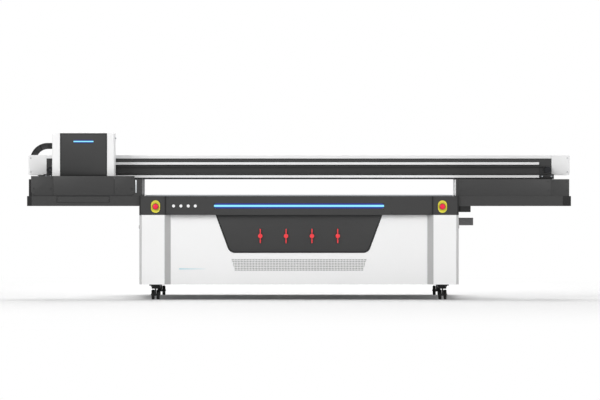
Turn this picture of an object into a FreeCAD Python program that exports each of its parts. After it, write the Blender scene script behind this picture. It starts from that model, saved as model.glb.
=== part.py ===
import FreeCAD, Part
import os
import re
import Sketcher

# Flatbed UV printer. X runs to the right, Y to the back, Z up, in millimetres. The origin is on the
# floor under the middle of the overall box.

SIZES = {
    "total_wide": 4430, "total_deep": 2133, "sheet": 4, "gap": 0.3, "run_fit": 0.05,
    "base_wide": 2588, "base_deep": 2100, "foot_tall": 125.5, "band_foot": 688.5, "band_tall": 153.5, "rear_slots": 6,
    "band_sheet": 6, "band_return": 20, "band_seam_half": 1082, "band_seam_gap": 2,
    "pillar_inner": 1089, "strip_wide": 48, "panel_recess": 40, "edge_chamfer": 20,
    "valve_panel_foot": 380.7, "valve_panel_half": 676, "valve_panel_low_half": 563, "valve_panel_thick": 12,
    "valve_corner": 32, "valve_tall": 518, "valve_inner": 105, "valve_outer": 314, "valve_body_round": 25,
    "valve_body_long": 70, "valve_stem_round": 6, "valve_stem_long": 50, "handle_long": 117,
    "handle_wide": 16, "handle_thick": 10, "handle_hub_round": 18, "handle_hub_tall": 14, "handle_stand": 4,
    "vent_foot": 240, "vent_hole_round": 7, "vent_pitch": 40, "vent_row_pitch": 26,
    "vent_columns": 25, "vent_rows": 4,
    "bar_half": 689, "bar_foot": 742, "bar_tall": 40.5,
    "stop_place": 1162, "stop_tall": 756.5, "stop_wide": 73, "stop_long": 100, "stop_plate": 3,
    "stop_head_round": 21, "stop_head_tall": 20, "stop_neck": 10, "stop_shaft_round": 11,
    "stop_travel": 6, "stop_block": 40, "stop_block_deep": 32,
    "beam_tube": 120, "channel_face": 1216, "frame_end": 40, "post": 80, "post_outer": 1208,
    "caster_in": 190, "caster_place": 1168, "long_tube_place": 300,
    "table_half": 1250, "table_front": 170, "table_deep": 1500, "table_thick": 24, "table_rise": 8,
    "hole_round": 4, "hole_pitch": 180, "hole_columns": 13, "hole_rows": 8,
    "y_rail_wide": 28, "y_rail_tall": 24, "y_rail_low": 775, "y_rail_end": 30,
    "y_block_low": 758, "y_block_tall": 60, "y_block_long": 110, "y_block_in": 30, "block_clear": 6,
    "screw_place": 1246, "screw_tall": 735, "screw_round": 12.5, "screw_front": 70, "screw_rear": 290,
    "screw_block_long": 24, "screw_block_low": 713, "screw_block_high": 757, "nut_long": 60,
    "y_motor_long": 150, "y_motor_half": 26,
    "blower_round": 150, "blower_long": 220, "blower_tall": 400, "blower_plate": 8, "riser_round": 45,
    "electronics_wide": 600, "electronics_deep": 220, "electronics_low": 250, "electronics_tall": 400,
    "electronics_place": 400,
    "inlet_wide": 127, "inlet_low": 603, "inlet_tall": 61, "inlet_front": 300, "inlet_deep": 120,
    "inlet_bore": 22, "inlet_bore_deep": 60,
    "caster_plate": 98, "caster_plate_thick": 12, "caster_stem_round": 9, "crown_round": 38,
    "crown_tall": 8, "wheel_round": 40, "wheel_wide": 25, "wheel_inner": 8, "wheel_trail": 28,
    "axle_round": 6, "web_half": 6,
    "leg_inner": 1272, "leg_thick": 21, "leg_front": 24, "leg_deep": 712, "leg_foot": 706,
    "end_box_wide": 149, "beam_front": 410, "beam_deep": 200, "beam_foot": 979, "beam_tall": 170,
    "beam_wall": 8, "cover_tall": 28, "end_box_low": 1013,
    "x_rail_in": 102, "x_rail_tall": 20, "x_rail_proud": 18, "x_rail_low": 992, "x_rail_high": 1098,
    "tray_deep": 100, "tray_tall": 198,
    "station_in": 25, "station_front": 20, "station_deep": 720, "station_low": 842,
    "well_outer": 1990, "well_inner": 1515, "well_front": 100, "well_deep": 270,
    "front_cover_outer": 2172, "front_cover_inner": 1333, "front_cover_low": 850, "front_cover_high": 1004.5,
    "cover_thick": 6, "cover_corner": 32,
    "lower_in": 11, "lower_foot": 761, "lower_corner": 36,
    "switch_box_wide": 93, "switch_box_tall": 48,
    "drawer_outer": 1960, "drawer_inner": 1539, "drawer_low": 793, "drawer_tall": 18, "drawer_long": 400,
    "drawer_panel_low": 790, "drawer_panel_high": 840, "rib_gap": 3, "ledge_wide": 20,
    "cap_low": 815, "cap_plate": 6, "cap_front": 110, "cap_deep": 240, "cap_tall": 19,
    "pulley_in": 31, "belt_rise": 76, "pulley_round": 27, "belt_thick": 3, "belt_wide": 22,
    "belt_stand": 6, "pulley_pin_round": 7, "motor_half": 30, "motor_long": 130, "bracket_thick": 5,
    "carriage_in": 61, "carriage_inner": 1498, "carriage_front": 90, "carriage_low": 1005,
    "carriage_high": 1358, "plate_low": 984, "plate_thick": 12, "plate_stand": 34,
    "x_block_long": 100, "x_block_tall": 40, "x_block_in": 51, "x_block_deep": 29,
    "face_outer": 1940, "face_inner": 1559, "face_high": 1352, "face_thick": 5,
    "light_outer": 1831, "light_inner": 1668, "light_low": 1272.6, "light_tall": 24, "light_thick": 3,
    "knob_round": 8, "knob_long": 12, "knob_tall": 1313,
    "head_outer": 1970, "head_inner": 1533, "head_front": 110, "head_deep": 230, "head_plate_low": 1010,
    "head_plate_thick": 8, "head_low": 985, "head_high": 1095, "head_wide": 60, "head_long": 90,
    "head_pitch": 80, "head_row_pitch": 105, "head_columns": 4, "head_rows": 2,
    "lamp_wide": 44, "lamp_long": 200, "lift_rail_wide": 20, "lift_rail_thick": 10, "lift_high": 1330,
    "lift_bracket_high": 1230, "lift_rail_inset": 90, "rod_round": 8, "cylinder_round": 20,
    "cylinder_low": 1180,
    "chain_wide": 89, "chain_stand": 4, "chain_thick": 49, "chain_round": 146, "chain_clear": 1,
    "chain_low": 986, "chain_run": 1700, "arm_wide": 30, "arm_high": 1290,
}

# Heights, planes and places that follow from the sizes.
DERIVED = {
    "front": "stop_plate + stop_neck + stop_head_tall - total_deep / 2",
    "rear": "front + base_deep",
    "base_half": "base_wide / 2",
    "band_top": "band_foot + band_tall",
    "table_top": "band_top + table_rise",
    "table_low": "table_top - table_thick",
    "table_y": "front + table_front",
    "table_rear": "table_y + table_deep",
    "panel_y": "front + panel_recess",
    "panel_half": "pillar_inner - strip_wide",
    "bar_top": "bar_foot + bar_tall",
    "side_beam_low": "table_low - beam_tube",
    "caster_front": "front + caster_in",
    "caster_rear": "rear - caster_in",
    "tube_top": "foot_tall + post",
    "leg_y": "front + leg_front",
    "leg_rear": "leg_y + leg_deep",
    "leg_outer": "leg_inner + leg_thick",
    "beam_half": "total_wide / 2 - end_box_wide",
    "x_rail_half": "beam_half - x_rail_in",
    "station_outer": "total_wide / 2 - station_in",
    "lower_outer": "total_wide / 2 - lower_in",
    "carriage_outer": "beam_half - carriage_in",
    "pulley_place": "beam_half - pulley_in",
    "pulley_tall": "beam_foot + belt_rise",
    "chain_centre": "beam_half + chain_clear",
    "beam_y": "front + beam_front",
    "beam_rear": "beam_y + beam_deep",
    "beam_top": "beam_foot + beam_tall",
    "cover_top": "beam_top + cover_tall",
    "station_y": "front + station_front",
    "station_wall": "station_y + cover_thick",
    "station_rear": "station_y + station_deep",
    "plate_back": "beam_y - plate_stand",
    "plate_y": "plate_back - plate_thick",
    "shell_y": "front + carriage_front",
    "shell_in_left": "sheet - carriage_outer",
    "shell_in_right": "-carriage_inner - sheet",
    "head_y": "front + head_front",
    "head_rear": "head_y + head_deep",
    "chain_y": "beam_rear + chain_stand",
    "chain_top": "chain_low + 2 * chain_round",
    "chain_mid": "chain_low + chain_round",
    "wheel_y": "wheel_trail",
    "pulley_y": "beam_y - belt_stand - belt_wide",
    "crown_high": "foot_tall - caster_plate_thick - gap",
    "motor_face": "beam_y - bracket_thick",
    "screw_y": "front + screw_front",
    "screw_back": "rear - screw_rear",
}

doc = FreeCAD.newDocument("FlatbedPrinter")
sheet = doc.addObject("Spreadsheet::Sheet", "Sizes")
for row, (alias, value) in enumerate(SIZES.items(), 1):
    sheet.set(f"A{row}", alias.replace("_", " "))
    sheet.set(f"B{row}", str(value))
    sheet.setAlias(f"B{row}", alias)
doc.recompute()

NODES = []
WORD = re.compile(r"[a-z][a-z_]*")


def formula(text):
    """The same sum with every name replaced by its cell in the sheet."""
    def swap(match):
        name = match.group(0)
        if name in DERIVED:
            return "(" + formula(DERIVED[name]) + ")"
        return "Sizes." + name
    return WORD.sub(swap, str(text))


def size(text):
    return float(sheet.evalExpression(formula(text)))


def node(name, shape_object):
    """Names a finished sub-part and puts it on the list to be written."""
    shape_object.Label = name
    NODES.append(shape_object)
    return shape_object


def place(item, x="0", y="0", z="0"):
    for letter, text in (("x", x), ("y", y), ("z", z)):
        item.setExpression("Placement.Base." + letter, formula(text))


def block(name, x, y, z):
    """A box between two planes on each axis."""
    box = doc.addObject("Part::Box", name)
    for side, (low, high) in (("Length", x), ("Width", y), ("Height", z)):
        box.setExpression(side, formula(f"({high}) - ({low})"))
    place(box, x[0], y[0], z[0])
    return box


def rod(name, axis, centre, radius, low, high):
    """A round bar along one axis, with its centre given on the other two."""
    bar = doc.addObject("Part::Cylinder", name)
    turns = {"X": FreeCAD.Rotation(FreeCAD.Vector(0, 1, 0), 90),
             "Y": FreeCAD.Rotation(FreeCAD.Vector(1, 0, 0), -90), "Z": FreeCAD.Rotation()}
    bar.Placement = FreeCAD.Placement(FreeCAD.Vector(), turns[axis])
    bar.setExpression("Radius", formula(radius))
    bar.setExpression("Height", formula(f"({high}) - ({low})"))
    where = {"X": (low, *centre), "Y": (centre[0], low, centre[1]), "Z": (*centre, low)}[axis]
    place(bar, *where)
    return bar


def join(name, *parts):
    fused = doc.addObject("Part::MultiFuse", name)
    fused.Shapes = list(parts)
    return fused


def cut(name, base, *tools):
    carved = doc.addObject("Part::Cut", name)
    carved.Base = base
    carved.Tool = tools[0] if len(tools) == 1 else group(name + "_tools", *tools)
    return carved


def group(name, *parts):
    """Separate solids that share one node."""
    bundle = doc.addObject("Part::Compound", name)
    bundle.Links = list(parts)
    return bundle


def plane_of(body, role):
    return [item for item in body.Origin.OriginFeatures if item.Role == role][0]


def draw(body, role, points, name="outline"):
    """A closed outline of straight lines through points given as sums of sizes."""
    sketch = body.newObject("Sketcher::SketchObject", name)
    sketch.AttachmentSupport = [(plane_of(body, role), "")]
    sketch.MapMode = "FlatFace"
    corners = [(size(across), size(up)) for across, up in points]
    count = len(points)
    for index, corner in enumerate(corners):
        after = corners[(index + 1) % count]
        sketch.addGeometry(Part.LineSegment(FreeCAD.Vector(*corner, 0), FreeCAD.Vector(*after, 0)), False)
    for index in range(count):
        sketch.addConstraint(Sketcher.Constraint("Coincident", index, 2, (index + 1) % count, 1))
    for index, corner in enumerate(corners):
        for kind, value, text in zip(("DistanceX", "DistanceY"), corner, points[index]):
            number = sketch.addConstraint(Sketcher.Constraint(kind, -1, 1, index, 1, value))
            sketch.setExpression(f"Constraints[{number}]", formula(text))
    return sketch


def plate(name, role, points, start, thick):
    """A body padded from an outline, from start along the plane's own axis."""
    body = doc.addObject("PartDesign::Body", name)
    sketch = draw(body, role, points)
    pad = body.newObject("PartDesign::Pad", name + "_pad")
    pad.Profile = sketch
    pad.Reversed = role == "XZ_Plane"
    pad.setExpression("Length", formula(thick))
    letter = {"XZ_Plane": "y", "YZ_Plane": "x", "XY_Plane": "z"}[role]
    body.setExpression("Placement.Base." + letter, formula(start))
    doc.recompute()
    return body


def round_edges(body, radius, wanted):
    """Rounds the edges of a body whose middle point the test accepts."""
    last = body.Tip
    names = [f"Edge{number}" for number, edge in enumerate(last.Shape.Edges, 1) if wanted(edge)]
    fillet = body.newObject("PartDesign::Fillet", body.Name + "_round")
    fillet.Base = (last, names)
    fillet.setExpression("Radius", formula(radius))
    doc.recompute()
    return fillet


def along(edge, letter):
    """Whether an edge is straight and runs along one axis."""
    if len(edge.Vertexes) != 2:
        return False
    step = edge.Vertexes[1].Point - edge.Vertexes[0].Point
    others = [abs(getattr(step, other)) for other in "xyz" if other != letter]
    return max(others) < 1e-6


def mirror(pair):
    """The same pair of planes on the left side."""
    return (f"-({pair[1]})", f"-({pair[0]})")


def sides():
    """Left then right: the side's name and the function that places an X pair there."""
    return (("left", mirror), ("right", lambda pair: pair))


def signed(side, text):
    return f"-({text})" if side == "left" else f"({text})"


def base_frame():
    """Welded tubes: bottom tubes, posts, heavy side beams and the table's cross beams."""
    tubes = []
    front_post = ("caster_front - post / 2", "caster_front + post / 2")
    rear_post = ("caster_rear - post / 2", "caster_rear + post / 2")
    shell_inner = "base_half - sheet"
    for label, span in (("front", front_post), ("rear", rear_post)):
        tubes.append(block(f"bottom_{label}_tube", (f"-({shell_inner})", shell_inner), span,
                           ("foot_tall", "tube_top")))
    between = (front_post[1], rear_post[0])
    for name, flip in sides():
        post_x = flip(("post_outer - post", "post_outer"))
        tubes.append(block(f"bottom_{name}_tube", post_x, between, ("foot_tall", "tube_top")))
        tubes.append(block(f"bottom_{name}_inner_tube", flip(("long_tube_place - post / 2",
                     "long_tube_place + post / 2")), between, ("foot_tall", "tube_top")))
        for label, span in (("front", front_post), ("rear", rear_post)):
            tubes.append(block(f"post_{name}_{label}", post_x, span, ("tube_top", "side_beam_low")))
        tubes.append(block(f"side_beam_{name}", flip(("channel_face - beam_tube", "channel_face")),
                           ("front + frame_end", "rear - frame_end"), ("side_beam_low", "table_low")))
    inner = "channel_face - beam_tube"
    for label, centre in (("front", "table_y + post"), ("middle", "table_y + table_deep / 2"),
                          ("rear", "table_rear - post")):
        tubes.append(block(f"cross_beam_{label}", (f"-({inner})", inner),
                           (f"{centre} - post / 2", f"{centre} + post / 2"),
                           ("table_low - post", "table_low")))
    node("base_frame", group("base_frame", *tubes))


def front_panel():
    """Recessed front sheet with the opening for the valve panel and the punched vent."""
    panel_z = ("foot_tall", "band_foot")
    points = [("-(panel_half)", panel_z[0]), ("panel_half", panel_z[0]), ("panel_half", panel_z[1]),
              ("valve_panel_half", panel_z[1]), ("valve_panel_low_half", "valve_panel_foot"),
              ("-valve_panel_low_half", "valve_panel_foot"), ("-valve_panel_half", panel_z[1]),
              ("-(panel_half)", panel_z[1])]
    body = plate("front_panel", "XZ_Plane", points, "panel_y", "sheet")
    sketch = body.newObject("Sketcher::SketchObject", "vent_hole")
    sketch.AttachmentSupport = [(plane_of(body, "XZ_Plane"), "")]
    sketch.MapMode = "FlatFace"
    start = ("-vent_pitch * (vent_columns - 1) / 2", "vent_foot")
    centre = FreeCAD.Vector(size(start[0]), size(start[1]), 0)
    sketch.addGeometry(Part.Circle(centre, FreeCAD.Vector(0, 0, 1), size("vent_hole_round")), False)
    sketch.addConstraint(Sketcher.Constraint("Radius", 0, size("vent_hole_round")))
    sketch.setExpression("Constraints[0]", formula("vent_hole_round"))
    for number, kind in enumerate(("DistanceX", "DistanceY")):
        sketch.addConstraint(Sketcher.Constraint(kind, -1, 1, 0, 3, size(start[number])))
        sketch.setExpression(f"Constraints[{number + 1}]", formula(start[number]))
    hole = body.newObject("PartDesign::Pocket", "vent_hole_cut")
    hole.Profile = sketch
    hole.Type = 1
    hole.Midplane = True
    doc.recompute()
    pattern = body.newObject("PartDesign::MultiTransform", "vent_pattern")
    pattern.Originals = [hole]
    steps = []
    for axis, pitch, count in (("H_Axis", "vent_pitch", "vent_columns"),
                               ("V_Axis", "vent_row_pitch", "vent_rows")):
        step = body.newObject("PartDesign::LinearPattern", "vent_" + axis[0].lower())
        step.Direction = (sketch, [axis])
        step.setExpression("Length", formula(f"{pitch} * ({count} - 1)"))
        step.setExpression("Occurrences", formula(count))
        steps.append(step)
    pattern.Transformations = steps
    body.Tip = pattern
    doc.recompute()
    node("front_panel", body)


def valve_panel():
    """Dark plate in the front panel's opening, with a hole for each valve stem."""
    inner = "valve_panel_low_half"
    points = [(f"-{inner}", "valve_panel_foot"), (inner, "valve_panel_foot"),
              ("valve_panel_half", "band_foot"), ("-valve_panel_half", "band_foot")]
    body = plate("valve_panel_blank", "XZ_Plane", points, "panel_y - gap", "valve_panel_thick")
    round_edges(body, "valve_corner", lambda edge: along(edge, "y")
                and edge.CenterOfMass.z < size("valve_panel_foot") + 1)
    holes = [rod(f"valve_hole_{number}", "Y", (centre, "valve_tall"), "valve_stem_round + gap",
                 "panel_y - sheet", "panel_y + valve_panel_thick + sheet")
             for number, centre in enumerate(valve_places())]
    node("valve_panel", cut("valve_panel", body, *holes))


def valve_places():
    return ("-valve_outer", "-valve_inner", "valve_inner", "valve_outer")


def valves():
    """Four valve bodies behind the panel and the red handles that turn in them."""
    back = "panel_y - gap + valve_panel_thick"
    bodies = []
    for number, centre in enumerate(valve_places(), 1):
        spot = (centre, "valve_tall")
        barrel = rod(f"valve_barrel_{number}", "Y", spot, "valve_body_round", back,
                     f"{back} + valve_body_long")
        bore = rod(f"valve_bore_{number}", "Y", spot, "valve_stem_round + run_fit", back,
                   f"{back} + valve_stem_long + gap")
        bodies.append(cut(f"valve_body_{number}", barrel, bore))
        face = "panel_y - gap - handle_stand"
        stem = rod(f"valve_stem_{number}", "Y", spot, "valve_stem_round", face, f"{back} + valve_stem_long")
        hub = rod(f"valve_hub_{number}", "Y", spot, "handle_hub_round", f"{face} - handle_hub_tall", face)
        bar = block(f"valve_bar_{number}", (f"{centre} - handle_wide / 2", f"{centre} + handle_wide / 2"),
                    (f"{face} - handle_hub_tall", f"{face} - handle_hub_tall + handle_thick"),
                    ("valve_tall - handle_long / 2", "valve_tall + handle_long / 2"))
        node(f"valve_handle_{number}", join(f"valve_handle_{number}", stem, hub, bar))
    node("valve_bodies", group("valve_bodies", *bodies))


def side_shells():
    """Bent sheets: the pillar's face, its angled inner strip and the long side."""
    for name, flip in sides():
        half = "base_half"
        points = [("panel_half", "panel_y"), ("pillar_inner", "front"), (f"{half} - edge_chamfer", "front"),
                  (half, "front + edge_chamfer"), (half, "rear"), (f"{half} - sheet", "rear"),
                  (f"{half} - sheet", "front + edge_chamfer + sheet / 2"),
                  (f"{half} - edge_chamfer - sheet / 2", "front + sheet"),
                  ("pillar_inner + sheet / 2", "front + sheet"), ("panel_half", "panel_y + sheet")]
        if name == "left":
            points = [(f"-({across})", deep) for across, deep in points][::-1]
        node(f"{name}_side_shell", plate(f"{name}_side_shell", "XY_Plane", points, "foot_tall",
                                         "band_foot - foot_tall"))


def rear_panel():
    """Flat rear sheet between the side shells, from the foot to the deck."""
    inner = "base_half - sheet"
    sheet_metal = block("rear_blank", (f"-({inner})", inner), ("rear - sheet", "rear"),
                        ("foot_tall", "band_top"))
    slots = [block(f"rear_slot_{number}", (f"-panel_half / 2 + {number} * vent_pitch * 2",
                   f"-panel_half / 2 + {number} * vent_pitch * 2 + vent_pitch"),
                   ("rear - 2 * sheet", "rear + sheet"), ("valve_panel_foot", "valve_panel_foot + post"))
             for number in range(SIZES["rear_slots"])]
    node("rear_panel", cut("rear_panel", sheet_metal, *slots))


def control_band():
    """Dark fascia in three lengths, each with a folded top, with the light's window and two button holes."""
    lengths = []
    edge = "band_seam_half + band_seam_gap / 2"
    spans = (("left", "-base_half", f"-({edge})"), ("middle", "-(band_seam_half - band_seam_gap / 2)",
             "band_seam_half - band_seam_gap / 2"), ("right", edge, "base_half"))
    fold = "band_top - band_sheet"
    points = [("front", "band_foot"), ("front + band_sheet", "band_foot"), ("front + band_sheet", fold),
              ("front + band_return", fold), ("front + band_return", "band_top"), ("front", "band_top")]
    for label, low, high in spans:
        body = plate(f"band_{label}_blank", "YZ_Plane", points, low, f"({high}) - ({low})")
        deep = ("front - sheet", "front + band_return / 2")
        if label == "middle":
            hole = block("bar_window", ("-bar_half", "bar_half"), deep, ("bar_foot", "bar_top"))
        else:
            hole = rod(f"button_hole_{label}", "Y", (signed(label, "stop_place"), "stop_tall"),
                       "stop_shaft_round + run_fit", *deep)
        lengths.append(cut(f"band_{label}", body, hole))
    node("control_band", group("control_band", *lengths))
    node("light_bar", block("light_bar", ("-bar_half", "bar_half"), ("front", "front + band_sheet"),
                            ("bar_foot", "bar_top")))


def emergency_stops():
    """Yellow plates with their switch blocks, and the red buttons that are pushed in."""
    fixed = []
    for name, flip in sides():
        centre = signed(name, "stop_place")
        spot = (centre, "stop_tall")
        half = "stop_wide / 2"
        straight = "(stop_long / 2 - stop_wide / 2)"
        middle = block(f"stop_middle_{name}", (f"{centre} - {half}", f"{centre} + {half}"),
                       ("front - stop_plate", "front"),
                       (f"stop_tall - {straight}", f"stop_tall + {straight}"))
        ends = [rod(f"stop_end_{name}_{label}", "Y", (centre, f"stop_tall {sign} {straight}"), half,
                    "front - stop_plate", "front") for label, sign in (("low", "-"), ("high", "+"))]
        bore = rod(f"stop_bore_{name}", "Y", spot, "stop_shaft_round + run_fit", "front - 2 * stop_plate",
                   "front + sheet")
        fixed.append(cut(f"stop_plate_{name}", join(f"stop_stadium_{name}", middle, *ends), bore))
        switch = block(f"stop_switch_{name}", (f"{centre} - stop_block / 2", f"{centre} + stop_block / 2"),
                       ("front + band_sheet", "front + band_sheet + stop_block_deep"),
                       ("stop_tall - stop_block / 2", "stop_tall + stop_block / 2"))
        well = rod(f"stop_well_{name}", "Y", spot, "stop_shaft_round + run_fit", "front",
                   "front + band_return + stop_travel + 2 * gap")
        fixed.append(cut(f"stop_block_{name}", switch, well))
        neck = "front - stop_plate - stop_neck"
        shaft = rod(f"stop_shaft_{name}", "Y", spot, "stop_shaft_round", neck, "front + band_return")
        head = rod(f"stop_head_{name}", "Y", spot, "stop_head_round", f"{neck} - stop_head_tall", neck)
        node(f"{name}_stop_button", join(f"{name}_stop_button", shaft, head))
    node("stop_plates", group("stop_plates", *fixed))


def decks_and_table():
    """Folded deck covers in front of and behind the vacuum table, and the table with its holes."""
    covers = []
    spans = (("front", "front + band_return", "table_y"), ("rear", "table_rear", "rear - sheet"))
    for label, low, high in spans:
        under = "band_top - sheet"
        points = [(low, "table_low"), (f"{low} + sheet", "table_low"), (f"{low} + sheet", under),
                  (f"{high} - sheet", under), (f"{high} - sheet", "table_low"), (high, "table_low"),
                  (high, "band_top"), (low, "band_top")]
        covers.append(plate(f"deck_{label}", "YZ_Plane", points, "-table_half", "2 * table_half"))
    node("deck_covers", group("deck_covers", *covers))
    top = block("table_blank", ("-table_half", "table_half"), ("table_y", "table_rear"),
                ("table_low", "table_top"))
    holes = []
    for column in range(SIZES["hole_columns"]):
        for line in range(SIZES["hole_rows"]):
            across = f"({column} - (hole_columns - 1) / 2) * hole_pitch"
            back = f"table_y + table_deep / 2 + ({line} - (hole_rows - 1) / 2) * hole_pitch"
            holes.append(rod(f"hole_{column}_{line}", "Z", (across, back), "hole_round", "table_low - sheet",
                             "table_top + sheet"))
    node("vacuum_table", cut("vacuum_table", top, *holes))


def y_drive():
    """Rails in the side channels, screws beneath them, and the screws' bearings and motors."""
    rails = []
    supports = []
    for name, flip in sides():
        rails.append(block(f"y_rail_{name}", flip(("channel_face", "channel_face + y_rail_tall")),
                           ("front + y_rail_end + frame_end", "rear - y_rail_end - frame_end"),
                           ("y_rail_low", "y_rail_low + y_rail_wide")))
        spot = (signed(name, "screw_place"), "screw_tall")
        block_x = flip(("channel_face", "2 * screw_place - channel_face - block_clear"))
        block_z = ("screw_block_low", "screw_block_high")
        screw = rod(f"{name}_y_screw", "Y", spot, "screw_round", "screw_y - screw_block_long",
                    "screw_back + screw_block_long + gap")
        node(f"{name}_y_screw", screw)
        for label, low in (("front", "screw_y - screw_block_long - gap"), ("rear", "screw_back")):
            high = f"{low} + screw_block_long + gap"
            bore = rod(f"screw_bore_{name}_{label}", "Y", spot, "screw_round + run_fit", f"{low} - sheet",
                       f"{high} + sheet")
            supports.append(cut(f"screw_bearing_{name}_{label}",
                                block(f"screw_block_{name}_{label}", block_x, (low, high), block_z), bore))
        motor_y = "screw_back + screw_block_long + 2 * gap"
        supports.append(block(f"y_motor_{name}", flip(("channel_face", "channel_face + 2 * y_motor_half")),
                              (motor_y, f"{motor_y} + y_motor_long"),
                              ("screw_tall - y_motor_half", "screw_block_high - gap")))
    node("y_rails", group("y_rails", *rails))
    node("screw_supports", group("screw_supports", *supports))


def services():
    """Vacuum blower with its riser, the electronics box and the mains inlet box."""
    half = "long_tube_place + post / 2"
    mid = "table_y + table_deep / 4"
    foot = block("blower_foot", (f"-({half})", half), (f"{mid} - blower_round", f"{mid} + blower_round"),
                 ("tube_top", "tube_top + blower_plate"))
    drum = rod("blower_drum", "X", (mid, "blower_tall"), "blower_round", "-blower_long / 2",
               "blower_long / 2")
    stand = block("blower_stand", ("-blower_long / 4", "blower_long / 4"),
                  (f"{mid} - blower_round / 2", f"{mid} + blower_round / 2"), ("tube_top", "blower_tall"))
    riser = rod("blower_riser", "Z", ("0", mid), "riser_round", "blower_tall", "table_low")
    node("vacuum_blower", join("vacuum_blower", foot, drum, stand, riser))
    node("electronics_box", block("electronics_box", ("electronics_place", "electronics_place + electronics_wide"),
         ("rear - sheet - electronics_deep", "rear - sheet"),
         ("electronics_low", "electronics_low + electronics_tall")))
    case = block("inlet_case", ("base_half", "base_half + inlet_wide"),
                 ("front + inlet_front", "front + inlet_front + inlet_deep"),
                 ("inlet_low", "inlet_low + inlet_tall"))
    bore = rod("inlet_bore_cut", "Y", ("base_half + inlet_wide / 2", "inlet_low + inlet_tall / 2"),
               "inlet_bore", "front + inlet_front - sheet", "front + inlet_front + inlet_bore_deep")
    node("power_inlet", cut("power_inlet", case, bore))


def casters():
    """Twin wheel casters: a fixed plate, a swivelling yoke and a pair of wheels on its axle."""
    plates = []
    spots = [(name, label, signed(name, "caster_place"), y)
             for label, y in (("front", "caster_front"), ("rear", "caster_rear")) for name, flip in sides()]
    for name, label, x, y in spots:
        tag = f"{label}_{name}"
        half = "caster_plate / 2"
        top = block(f"caster_top_{tag}", (f"{x} - {half}", f"{x} + {half}"), (f"{y} - {half}", f"{y} + {half}"),
                    ("foot_tall - caster_plate_thick", "foot_tall"))
        bore = rod(f"caster_bore_{tag}", "Z", (x, y), "caster_stem_round + run_fit",
                   "foot_tall - 2 * caster_plate_thick", "foot_tall + sheet")
        plates.append(cut(f"caster_plate_{tag}", top, bore))
        stem = rod(f"caster_stem_{tag}", "Z", (x, y), "caster_stem_round", "crown_high - crown_tall",
                   "foot_tall - gap")
        crown = rod(f"caster_crown_{tag}", "Z", (x, y), "crown_round", "crown_high - crown_tall",
                    "crown_high")
        axle_y = f"{y} + wheel_y"
        web = block(f"caster_web_{tag}", (f"{x} - web_half", f"{x} + web_half"),
                    (f"{y} - crown_round / 2", f"{axle_y} + 2 * axle_round"),
                    ("wheel_round - 2 * axle_round", "crown_high - crown_tall / 2"))
        spot = (axle_y, "wheel_round")
        axle = rod(f"caster_axle_{tag}", "X", spot, "axle_round",
                   f"{x} - wheel_inner - wheel_wide - gap", f"{x} + wheel_inner + wheel_wide + gap")
        node(f"{tag}_caster_yoke", join(f"{tag}_caster_yoke", stem, crown, web, axle))
        pair = []
        for edge, low in (("a", f"{x} - wheel_inner - wheel_wide"), ("b", f"{x} + wheel_inner")):
            tread = rod(f"wheel_{tag}_{edge}", "X", spot, "wheel_round", low, f"{low} + wheel_wide")
            hub = rod(f"wheel_bore_{tag}_{edge}", "X", spot, "axle_round + run_fit", f"{low} - sheet",
                      f"{low} + wheel_wide + sheet")
            pair.append(cut(f"wheel_cut_{tag}_{edge}", tread, hub))
        node(f"{tag}_caster_wheels", group(f"{tag}_caster_wheels", *pair))
    node("caster_plates", group("caster_plates", *plates))


def gantry_legs():
    """Leg plates beside the base, with bearing blocks on the rails and nuts on the screws."""
    blocks = []
    for name, flip in sides():
        points = [("leg_y", "leg_foot"), ("leg_rear", "leg_foot"), ("leg_rear", "beam_foot"),
                  ("leg_y", "beam_foot")]
        low = flip(("leg_inner", "leg_outer"))[0]
        node(f"{name}_leg", plate(f"{name}_leg", "YZ_Plane", points, low, "leg_thick"))
        for label, start in (("front", "leg_y + y_block_in"), ("rear", "leg_rear - y_block_in - y_block_long")):
            end = f"{start} + y_block_long"
            blank = block(f"y_block_{name}_{label}", flip(("channel_face + block_clear", "leg_inner")),
                          (start, end), ("y_block_low", "y_block_low + y_block_tall"))
            slot = block(f"y_slot_{name}_{label}", flip(("channel_face", "channel_face + y_rail_tall + gap")),
                         (f"{start} - sheet", f"{end} + sheet"),
                         ("y_rail_low - gap", "y_rail_low + y_rail_wide + gap"))
            blocks.append(cut(f"y_slide_{name}_{label}", blank, slot))
        middle = "leg_y + leg_deep / 2"
        nut = block(f"nut_blank_{name}", flip(("channel_face + block_clear", "leg_inner")),
                    (f"{middle} - nut_long / 2", f"{middle} + nut_long / 2"),
                    ("screw_block_low", "screw_block_high - gap"))
        bore = rod(f"nut_bore_{name}", "Y", (signed(name, "screw_place"), "screw_tall"),
                   "screw_round + run_fit", f"{middle} - nut_long", f"{middle} + nut_long")
        blocks.append(cut(f"y_nut_{name}", nut, bore))
    node("gantry_bearing_blocks", group("gantry_bearing_blocks", *blocks))


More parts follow.
